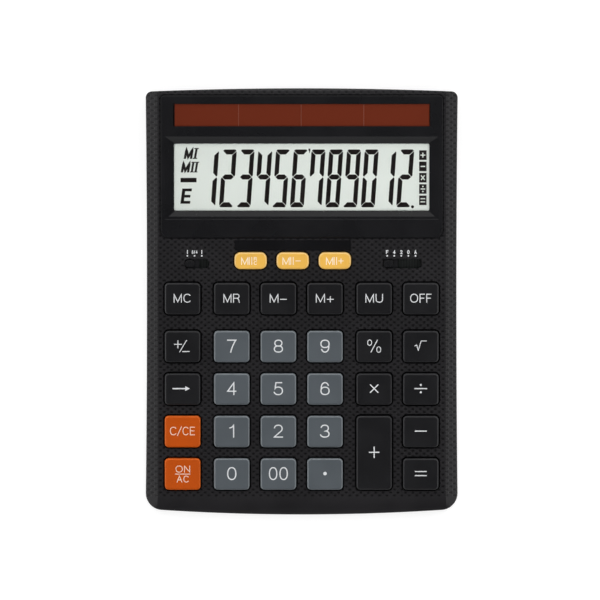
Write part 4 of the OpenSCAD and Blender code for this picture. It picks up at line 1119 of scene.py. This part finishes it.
recess_box = inset_box(bezel_low, bezel_high, SIDE_LAND, FRONT_LAND, rear=REAR_LAND + SOLAR_D + MIDDLE_LAND)
window_box = inset_box(*recess_box, RECESS_SIDE, RECESS_END)
solar_box = (np.array((bezel_low[0] + SOLAR_LAND, bezel_high[1] - REAR_LAND - SOLAR_D)),
             np.array((bezel_high[0] - SOLAR_LAND, bezel_high[1] - REAR_LAND)))


def flat(b, slope, level, outer, holes=()):
    """A flat face between an outer outline and its holes."""
    xy, faces, _ = triangulate([outer, *holes], outer=outer, holes=holes)
    b.add(slope.lift(xy, level), faces)


def plate(b, slope, low, high, bottom, top, r, edge_r=0.06, steps=3):
    """A rounded plate with a soft upper edge."""
    b.loft(stack(slope, low, high, r, [(0, bottom)] + soft_top(edge_r, top, 3), steps))


# The recess's edge: how far its front is drawn out, and how far it has dropped. Its other sides fall as
# steeply as the recess's walls
BROW = ((0.36, 0), (0.28, 0.02), (0.0, 0.16), (-0.95, 0.85), (-1.05, 0.9))
BROW_OUT = 0.1


def make_bezel():
    b = Build()

    def rows(box, r, profile, rear_r=None, steps=6):
        """Rings of a box's outline: each row of the profile is how far it grows and its level.
        How far may be three numbers, for the sides, the front and the rear."""
        rings = []
        for grow, _ in profile:
            if np.ndim(grow):
                side, front, rear = grow
                grown = inset_box(*box, -side, -front, rear=-rear)
                rings.append(round_box(*grown, r, rear_r, steps=steps, sides=4))
            else:
                rings.append(round_box(*box, r, rear_r, grow=grow, steps=steps, sides=4))
        levels = [level for _, level in profile]
        for upper, lower, top, low in zip(rings, rings[1:], levels, levels[1:]):
            b.strip(HEAD.lift(upper, top), HEAD.lift(lower, low))
        return rings

    def edge(r, way):
        return [(way * drop_in, BEZEL_TOP - drop) for drop_in, drop in reversed(rounding(r))]

    under, sill = -POCKET, BEZEL_TOP - RECESS_DEPTH
    outer = rows((bezel_low[:2], bezel_high[:2]), BEZEL_FRONT_R, edge(BEZEL_EDGE_R, -1) + [(0, under)],
                 BEZEL_REAR_R)
    brow = [((BROW_OUT - drop * RECESS_SIDE / RECESS_DEPTH, front, BROW_OUT - drop * RECESS_END / RECESS_DEPTH),
             BEZEL_TOP - drop) for front, drop in BROW]
    recess = rows(recess_box, 0.15, brow, steps=4)
    window = round_box(*window_box, WINDOW_R, steps=4, sides=4)
    b.strip(HEAD.lift(recess[-1], brow[-1][1]), HEAD.lift(window, sill))
    b.strip(HEAD.lift(window, sill), HEAD.lift(window, TUB_LEVEL))
    sun = rows(solar_box, 0.3, edge(0.18, 1) + [(0, under)])
    flat(b, HEAD, BEZEL_TOP, outer[0], [recess[0], sun[0]])
    tub = round_box(tub_low, tub_high, TUB_R, sides=4)
    flat(b, HEAD, under, outer[-1], [tub, sun[-1]])
    b.strip(HEAD.lift(tub, under), HEAD.lift(tub, TUB_LEVEL))
    flat(b, HEAD, TUB_LEVEL, tub, [window])
    return b.finish("bezel", GLOSS, "case", "bezel_gloss", ["display_bezel"], sharp=24, merge=3e-4)


make_bezel()


# ---------------------------------------------------------------- display

CLEAR = finish("clear_window", (30, 33, 32), 0.06, tone=0.05, grain=0.0, rough_play=0.01, Alpha=0.015)
LCD = finish("lcd_panel", (228, 235, 228), 0.35, tone=0.012, tone_scale=25, grain=0.0004, grain_scale=900,
             rough_play=0.03)
INK = finish("lcd_ink", (24, 19, 18), 0.4, tone=0.05, grain=0.0004)
lens_low, lens_high = span("lcd_window", HEAD)
GLASS_TOP = lens_low[2]
DIGIT_W, DIGIT_H, DIGIT_SLANT = 6.65, 27.7, math.tan(math.radians(4))
DIGIT_PITCH = 8.4
DIGIT_AT = (-47.65, 14.3)
STEM, BEAM = 2.1, 2.4       # how wide upright and level segments are
DIGIT_WAIST = 0.524          # height of the middle segment, as a share of the digit's
SEGMENTS = {"0": "abcdef", "1": "bc", "2": "abged", "3": "abgcd", "4": "fbgc", "5": "afgcd", "6": "afgedc",
            "7": "fabc", "8": "abcdefg", "9": "abcdfg"}


def segment(name):
    """Outline of one of a digit's seven segments, upright, from the digit's low left corner."""
    w, h, m = DIGIT_W, DIGIT_H, DIGIT_H * DIGIT_WAIST
    beam = [(0.25, -0.65), (0.42, -0.25), (0.85, 0), (w - 0.85, 0), (w - 0.42, -0.25), (w - 0.25, -0.65),
            (w - 1.9, -BEAM), (1.9, -BEAM)]
    upper = [(w - 0.2, h - 0.92), (w - STEM, h - 2.85), (w - STEM, m + 1.9), (w - 0.5, m + 0.2),
             (w - 0.2, m + 0.45), (w, m + 0.9), (w, h - 1.5)]
    lower = [(w - 0.5, m - 0.2), (w - STEM, m - 1.9), (w - STEM, 2.85), (w - 0.2, 0.92), (w, 1.5),
             (w, m - 0.9), (w - 0.2, m - 0.45)]
    middle = [(0.6, m), (0.6 + BEAM / 2, m + BEAM / 2), (w - 0.6 - BEAM / 2, m + BEAM / 2), (w - 0.6, m),
              (w - 0.6 - BEAM / 2, m - BEAM / 2), (0.6 + BEAM / 2, m - BEAM / 2)]
    shapes = {"a": [(x, h + y) for x, y in beam], "d": [(x, -y) for x, y in beam], "g": middle,
              "b": upper, "c": lower, "f": [(w - x, y) for x, y in upper], "e": [(w - x, y) for x, y in lower]}
    return np.array(shapes[name], float)


def lean(shape, slant, base=0.0):
    """A shape slanted about a level."""
    shape = np.array(shape, float)
    shape[:, 0] += (shape[:, 1] - base) * slant
    return shape


POINT = (52.5, 14.55, 0.72)
COMMA = ((3.2, 42.4), (4.1, 42.4), (4.15, 41.6), (3.75, 40.4), (3.5, 40.4), (3.55, 41.3), (3.2, 41.5))


def digit_shapes():
    shapes = [lean(segment(s), DIGIT_SLANT) + (DIGIT_AT[0] + i * DIGIT_PITCH, DIGIT_AT[1])
              for i, c in enumerate("123456789012") for s in SEGMENTS[c]]
    return shapes + [dot(*POINT), np.array(COMMA)]


def serif(x, y0, y1, line, foot):
    """An upright stroke with a foot at each end."""
    return [bar(x - line / 2, y0, x + line / 2, y1), bar(x - foot / 2, y0, x + foot / 2, y0 + 0.45),
            bar(x - foot / 2, y1 - 0.45, x + foot / 2, y1)]


def indicator_shapes():
    """The two memory signs, the minus and the error sign in the display's left column."""
    shapes = []
    for base, height, m_at, stems, line, foot in ((37.5, 5.2, -55.9, (-50.6,), 1.05, 2.1),
                                                  (31.0, 5.1, -57.3, (-52.1, -50.3), 1.0, 1.8)):
        row = glyph("M", m_at, base, 4.0, height, 1.1)
        for x in stems:
            row += serif(x, base, base + height, line, foot)
        shapes += [lean(s, 0.17, base) for s in row]
    shapes += [bar(-57.4, 26.25, -49.8, 28.4)]
    letter = ([bar(-57.5, 16.0, -55.95, 23.3)] + [bar(-57.5, y, -52.9, y + 1.35) for y in (16.0, 21.95)]
              + [bar(-57.5, 18.95, -53.2, 20.25)])
    return shapes + [lean(s, 0.13, 16.0) for s in letter]


AIR = 0.12                   # between the window and the display's glass
ICON_SIZE, ICON_LINE, ICON_ARM = (3.5, 4.6), 0.5, 1.1
ICONS = [(57.4, 39.3 - i * 5.41) for i in range(5)]
INK_RISE, INK_SINK = 0.012, 0.05   # how far the display's ink stands off the glass, and how deep it goes


def icon_signs():
    """The pale sign in each icon of the display's right column: plus, minus, times, divide and equals."""
    t, arm = ICON_LINE, ICON_ARM
    x, y = ICONS[0][0], [at for _, at in ICONS]

    def level(at):
        return bar(x - arm, at - t / 2, x + arm, at + t / 2)

    times = [q for s in (-1, 1)
             for q in stroke([(x - 0.85 * s, y[2] - arm), (x + 0.85 * s, y[2] + arm)], t, capped=False)]
    return (cross_shape(x, y[0], 1.15, t) + [level(y[1])] + times
            + [level(y[3]), dot(x, y[3] + 1.2, 0.38, 10), dot(x, y[3] - 1.2, 0.38, 10)]
            + [level(y[4] + s * 0.75) for s in (-1, 1)])


def make_display():
    b = Build()
    plate(b, HEAD, lens_low, lens_high, GLASS_TOP + AIR, lens_high[2] - 0.02, 0.5)
    b.finish("window_pane", CLEAR, "case", "clear_window", ["lcd_window"])
    w, h = np.array(ICON_SIZE) / 2
    boxes = [bar(x - w, y - h, x + w, y + h) for x, y in ICONS]
    for name, shapes, ink, more in (("digits", digit_shapes(), INK, 0),
                                    ("indicators", indicator_shapes(), INK, 0),
                                    ("icons", boxes, INK, 0), ("icon_signs", icon_signs(), LCD, 0.01)):
        engrave("lcd_" + name, shapes, HEAD, GLASS_TOP, ink, "case", up=INK_RISE + more, down=INK_SINK - more)


make_display()


# ---------------------------------------------------------------- solar cell

SOLAR = finish("solar_film", (105, 41, 22), 0.3, tone=0.015, tone_scale=9, grain=0.0005, gloss=0.05)
# The base is dark; where it shows round the film it is a painted shadow of the slot's edges
SOLAR_BASE_AND_SHADOW = finish("solar_base", (16, 12, 12), 0.4, grain=0.0005, gloss=0.25)
SOLAR_LINE = finish("solar_divider", (124, 62, 44), 0.35, grain=0.0005)
SILVER = finish("solar_contact", (104, 98, 88), 0.4, grain=0.002, Metallic=0.6)
SOLAR_PITCH, SOLAR_GAP, SOLAR_LINE_W = 29.65, 0.35, 0.32
SOLAR_SHIFT = -0.25          # where the middle divider lies
SOLAR_LAP = 0.8              # how far the strip runs under the bezel, all round
SOLAR_SHADOW_MARGINS = (0.65, 0.35, 0.4)   # what the film leaves bare of the window at the left, the right and the rear, where the dark base is a painted shadow of the slot's edges


def make_solar():
    """The strip's base, its four cells of film, the lines between them and the contact at its end. The dark
    base left bare along the window's left, right and rear edges is a painted shadow.
    """
    low, high = span("solar_cell", HEAD)
    b = Build()
    plate(b, HEAD, low, high, low[2], high[2] - 0.12, 0.1)
    b.finish("solar_base", SOLAR_BASE_AND_SHADOW, "case", "solar_cell", ["solar_cell"])
    middle, rear = (low[0] + high[0]) / 2 + SOLAR_SHIFT, high[1] - SOLAR_LAP - SOLAR_SHADOW_MARGINS[2]
    ends = [low[0] + SOLAR_LAP + SOLAR_SHADOW_MARGINS[0], *(middle + i * SOLAR_PITCH for i in (-1, 0, 1)),
            high[0] - SOLAR_LAP - SOLAR_SHADOW_MARGINS[1]]
    gap, line, x = SOLAR_GAP / 2, SOLAR_LINE_W / 2, high[0] - 0.55
    for name, material, plates, sunk in (
            ("cells", SOLAR, [(x0 + gap, 0.25, x1 - gap, rear) for x0, x1 in zip(ends, ends[1:])], 0.03),
            ("dividers", SOLAR_LINE, [(at - line, 0.35, at + line, rear - 0.1) for at in ends[1:-1]], 0.06),
            ("bus", SILVER, [(x - 0.17, 0.3, x + 0.17, high[1] - 0.3)], 0.02)):
        b = Build()
        for x0, inset, x1, y1 in plates:
            plate(b, HEAD, (x0, low[1] + inset), (x1, y1), low[2] + 0.5, high[2] - sunk, 0.05, 0.03)
        b.finish("solar_" + name, material, "case", "solar_cell")


make_solar()


# ---------------------------------------------------------------- label strip and switches

LABEL = finish("label_gloss", (18, 18, 20), 0.2, grain=0.0008, grain_scale=900, rough_play=0.03, gloss=0.25)


def make_label():
    low, high = span("label_strip", DECK)
    b = Build()
    plate(b, DECK, low, high, low[2], high[2], 0.3, 0.12, 4)
    b.finish("label_plate", LABEL, "case", "bezel_gloss", ["label_strip"])


RIDGE_UP, RIDGE_PITCH, RIDGE_W = 0.28, 0.95, 0.52
STOP_V, STOP_TALL, DOTS_V = -6.54, 1.85, -8.35   # where the stops' signs and dots lie up the deck


def make_switch(name, r, label, label_in, pitch):
    """The knob with its ridges, and the signs and dots printed over its stops. label_in is how far the first
    stop lies from the knob's middle, and pitch is the way between stops."""
    node = name + "_switch_knob"
    low, high = span(node, DECK, CAP_FROM)
    flange_low, flange_high = span(node, DECK, under=-WALL)
    b = Build()
    skin, bottom = high[2] - RIDGE_UP, flange_low[2]
    rings = stack(DECK, flange_low, flange_high, 1.0, [(-0.1, bottom), (0, bottom + 0.1), (0, FLANGE_TOP - 0.1),
                                                       (-0.1, FLANGE_TOP)], 5)
    b.loft(rings + stack(DECK, low, high, r, [(0, FLANGE_TOP)] + soft_top(0.35, skin), 5))
    x = (low[0] + high[0]) / 2
    for i in (-1, 0, 1):
        at, short = x + i * RIDGE_PITCH, 0.35 + 0.3 * abs(i) * (r > 1)
        plate(b, DECK, (at - RIDGE_W / 2, low[1] + short), (at + RIDGE_W / 2, high[1] - short),
              skin - 0.1, high[2], 0.24, 0.16, 4)
    b.finish(name + "_knob", BLACK, name + "_switch", "key_black", [node], sharp=50)
    stops = [x + label_in + i * pitch for i in range(len(label))]
    shapes = []
    for at, sign in zip(stops, label):
        if len(sign) > 1:
            for c, dx in zip(sign, (-0.95, 0.0, 0.95)):
                shapes += words(c, 0.5 if c == "/" else 0.85, STOP_TALL * 0.85, 0.28, (at + dx, STOP_V))
        else:
            shapes += words(sign, 0.5 if sign in "^_" else 1.15, STOP_TALL, 0.36, (at, STOP_V))
    engrave("print_" + name, shapes, DECK, 0.0, PRINT, "case")
    engrave("dots_" + name, [dot(at, DOTS_V, 0.4, 14) for at in stops], DECK, 0.0, PRINT, "case")


make_label()
make_switch("rounding", 1.6, ("^", "5/4", "_"), -1.1, 3.4)
make_switch("decimal", 0.9, ("F", "4", "2", "0", "A"), -0.55, 3.35)


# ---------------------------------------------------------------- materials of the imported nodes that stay

def wave_mask(t, where, axis, pitch, share):
    """1 on stripes that repeat along an axis of the model, 0 between them."""
    along = t.put("ShaderNodeSeparateXYZ", where).outputs[axis]
    wave = t.math("SINE", t.math("MULTIPLY", along, 2 * math.pi / (pitch * MM)))
    edge = math.cos(math.pi * share)
    return t.ramp(wave, edge - 0.15, edge + 0.15)


def flex_stripes(t, where):
    return t.math("SUBTRACT", 1.0, wave_mask(t, where, 0, 0.9, 0.5))


def board_traces(t, where):
    """Straight conductors under the green mask, thinned out by large patches."""
    lines = wave_mask(t, where, 0, 1.3, 0.35)
    patches = t.put("ShaderNodeTexVoronoi", where, None, 55)
    gate = t.ramp(patches.outputs["Distance"], 0.35, 0.45)
    return t.math("SUBTRACT", 1.0, t.math("MULTIPLY", lines, gate))


JACKET_TURN = 0.0096         # where the battery's jacket changes colour, in metres


def jacket_band(t, where):
    """The battery's jacket changes colour a third of the way along."""
    along = t.put("ShaderNodeSeparateXYZ", where)
    return t.ramp(along, JACKET_TURN - 0.0001, JACKET_TURN + 0.0001)


def coat(material, *nodes):
    """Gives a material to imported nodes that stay."""
    for node in nodes:
        for s in frame["nodes"][node].material_slots:
            s.material = material
    return material


coat(LCD, "lcd_glass")
coat(finish("lcd_reflector", (206, 210, 204), 0.3, grain=0.002, Metallic=0.5), "lcd_reflector")
coat(finish("inner_plastic", (212, 212, 206), 0.5, grain=0.006), "lcd_retainer")
coat(finish("flex_ribbon", (196, 120, 42), 0.3, grain=0.001, shade=flex_stripes), "lcd_flex")
coat(finish("keypad_rubber", (138, 142, 144), 0.65, grain=0.004), "rubber_keypad")
# The board is near black: partly its mask's own colour, partly painted shade for what shows through the switch
# slots
coat(finish("circuit_board", (34, 37, 36), 0.38, grain=0.002, shade=board_traces), "keyboard_board")
coat(finish("chip_resin", (22, 22, 24), 0.3, grain=0.003), "main_chip")
coat(finish("component_body", (176, 148, 104), 0.45, grain=0.003), "board_components")
coat(finish("battery_jacket", (64, 116, 88), 0.28, grain=0.001, shade=jacket_band), "battery_cell")
coat(finish("contact_metal", (196, 192, 184), 0.28, tone=0.05, grain=0.002, Metallic=1.0),
     "battery_contact_plus", "battery_contact_minus", "rounding_switch_wiper", "decimal_switch_wiper")
STEEL = coat(finish("screw_steel", (168, 168, 170), 0.32, tone=0.06, grain=0.003, Metallic=1.0), "board_screws")
coat(finish("wire_red", (186, 34, 30), 0.42, grain=0.002), "battery_wires")
coat(finish("wire_blue", (34, 58, 150), 0.42, grain=0.002), "solar_wires")
FOOT = finish("foot_rubber", (38, 38, 38), 0.75, grain=0.012, grain_scale=1800)
BASE = coat(finish("base_plastic", (33, 33, 35), 0.5, grain=0.012, grain_scale=1600), "bottom_case")


# ---------------------------------------------------------------- underside

BASE_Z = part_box("bottom_case")[0].z / MM
UNDER = Slope(math.pi, 0, BASE_Z)     # across, towards the front, and down from the base


def wheel(middle, profile):
    """Rings about an upright axis, from rows of radius and height."""
    return [upright(middle[:2] + arc(0, 0, r, 0, 345, 23), z) for r, z in profile]


# How far in from a foot's side its rows lie, and at which height
FOOT_ROWS = ((4.4, 0.3), (3.6, 0.28), (3.2, 0.05), (2.9, 0), (1.6, 0), (1.1, 0.06), (0.65, 0.24), (0.25, 0.55),
             (0.05, 0.95), (0, 1.3))


def make_feet():
    b = Build()
    for low, high, middle in islands("rubber_feet"):
        r, top = (high - low)[0] / 2, high[2]
        b.loft(wheel(middle, [(r - inset, z) for inset, z in (*FOOT_ROWS, (0, top))]))
    b.finish("feet", FOOT, "case", replaces=["rubber_feet"])


SCREW_HEAD_T, SCREW_R, THREAD_DEPTH, THREAD_PITCH = 1.6, 1.25, 0.25, 1.1
CROSS_ARM, CROSS_T, CROSS_DEPTH = 1.5, 0.7, 0.8


def make_screws():
    b = Build()
    arm, half = CROSS_ARM, CROSS_T / 2
    quarter = np.array(((arm, -half), (arm, half), (half, half)))
    turn = np.array(((0, 1), (-1, 0)))
    plus = np.vstack([quarter @ np.linalg.matrix_power(turn, k) for k in range(4)])
    for low, high, middle in islands("case_screws"):
        r, z = (high - low)[0] / 2, low[2]
        rows = [(r - 0.6, z), (r - 0.3, z + 0.08), (r - 0.09, z + 0.3), (r, z + 0.6), (r, z + SCREW_HEAD_T),
                (SCREW_R, z + SCREW_HEAD_T)]
        steps = np.arange(z + SCREW_HEAD_T + 0.4, high[2] - THREAD_PITCH - 0.3, THREAD_PITCH)
        rows += [(SCREW_R - THREAD_DEPTH * (i % 2), at + THREAD_PITCH / 2 * i) for at in steps for i in (0, 1)]
        rings = wheel(middle, rows + [(SCREW_R - THREAD_DEPTH, high[2] - 0.3), (0.3, high[2])])
        b.loft(rings, cap_first=False)
        cross, floor = middle[:2] + plus, upright(middle[:2] + plus * 0.8, z + CROSS_DEPTH)
        xy, faces, _ = triangulate([rings[0][:, :2], cross], holes=[cross])
        b.add(upright(xy, z), faces)
        b.strip(upright(cross, z), floor)
        b.add(floor, [range(len(floor))])
    b.finish("base_screws", STEEL, "case", replaces=["case_screws"])


DOOR_FLOOR, DOOR_WALL_IN, DOOR_EDGE_R, BASE_CHAMFER = 2.2, 3.6, 0.3, 1.5
GRIP_X, GRIP_AT, GRIP_PITCH, GRIP_COUNT, GRIP_W, GRIP_DEPTH = 7, 14, 2, 5, 1, 0.5


def make_door():
    """The battery door, built of sections across the case, with soft edges and a grooved grip."""
    low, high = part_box("battery_door")
    low, high = np.array(low) / MM, np.array(high) / MM
    half, inner = high[0] - 1, CASE_D / 2 - DOOR_WALL_IN

    def section(x, lift, depth):
        rear = CASE_D / 2 - REAR_BOW * (x / (CASE_W / 2)) ** 2
        z0, z1 = BASE_Z + lift, BASE_Z + DOOR_FLOOR
        front = [(low[1] + inset, z0 + drop) for inset, drop in rounding(DOOR_EDGE_R)]
        grip = []
        for i in range(GRIP_COUNT):
            y = CASE_D / 2 - GRIP_AT + i * GRIP_PITCH
            grip += [(y + a, z0 + depth * d) for a, d in ((0, 0), (0.2, 0.8), (0.35, 1), (GRIP_W - 0.35, 1),
                                                         (GRIP_W - 0.2, 0.8), (GRIP_W, 0))]
        foot = [(rear - BASE_CHAMFER - 0.2, z0), (rear - BASE_CHAMFER + 0.15, z0 + 0.06),
                (rear - 0.15, z0 + BASE_CHAMFER - 0.21), (rear, z0 + BASE_CHAMFER + 0.1)]
        wall = [(rear, PARTING), (inner, PARTING), (inner, z1), (low[1], z1)]
        return np.array([(x, y, z) for y, z in front + grip + foot + wall])

    b = Build()
    edges = [(half - inset, drop, 0) for inset, drop in rounding(DOOR_EDGE_R)]
    right = edges[:-1] + [(half - 4, 0, 0)] + [(x, 0, 0) for x in (16, 11, GRIP_X)] + [
        (GRIP_X - 0.35, 0, GRIP_DEPTH), (3, 0, GRIP_DEPTH)]
    stations = [(-x, lift, depth) for x, lift, depth in right] + [(0, 0, GRIP_DEPTH)] + right[::-1]
    b.loft([section(*s) for s in stations])
    for side in (-1, 1):
        x0, x1 = sorted((side * (half - 0.2), side * high[0]))
        rail = round_box((x0, low[1] + 0.3), (x1, inner), 0.3)
        b.loft([upright(rail, BASE_Z + z) for z in (0.7, 1.5)])
    b.finish("door", BASE, "battery_door", replaces=["battery_door"])


# Radius and height of the rows of a screw's rim
RIMS = ((4.0, 0.1), (4.0, -0.12), (3.85, -0.22), (3.6, -0.25), (3.25, -0.25), (2.95, -0.18), (2.72, 0),
        (2.72, 0.1))
FOOT_RIM = 3.5               # how much wider the rims about the feet are
PLATE = ((-31, -54), (31, -24), 2.5)  # the bare field for a rating plate: its corners and their radius
PLATE_RIM = ((0, -0.1), (0, 0.1), (0.15, 0.2), (0.55, 0.2), (0.7, 0.1), (0.7, -0.1))


def make_base_marks():
    """Raised rims about the screws and the feet, and the rim of a bare field for a rating plate."""
    b = Build()
    for node, wider in (("case_screws", 0), ("rubber_feet", FOOT_RIM)):
        for _, _, middle in islands(node):
            b.hoop(wheel(middle, [(r + wider, BASE_Z + z) for r, z in RIMS]))
    b.hoop(stack(UNDER, *PLATE, PLATE_RIM, sides=4))
    b.finish("base_rims", BASE, "case")
    arrow = [bar(-0.5, -80.4, 0.5, -78.6), np.array(((-1.9, -80.2), (0, -83.4), (1.9, -80.2)))]
    engrave("door_arrow", arrow, UNDER, 0, BASE, "battery_door", up=0.15, down=0.1)
    engrave("door_open", words("OPEN", 11, 3.2, 0.55, (0, -74.2)), UNDER, 0, BASE, "case", up=0.15, down=0.1)


make_feet()
make_screws()
make_door()
make_base_marks()
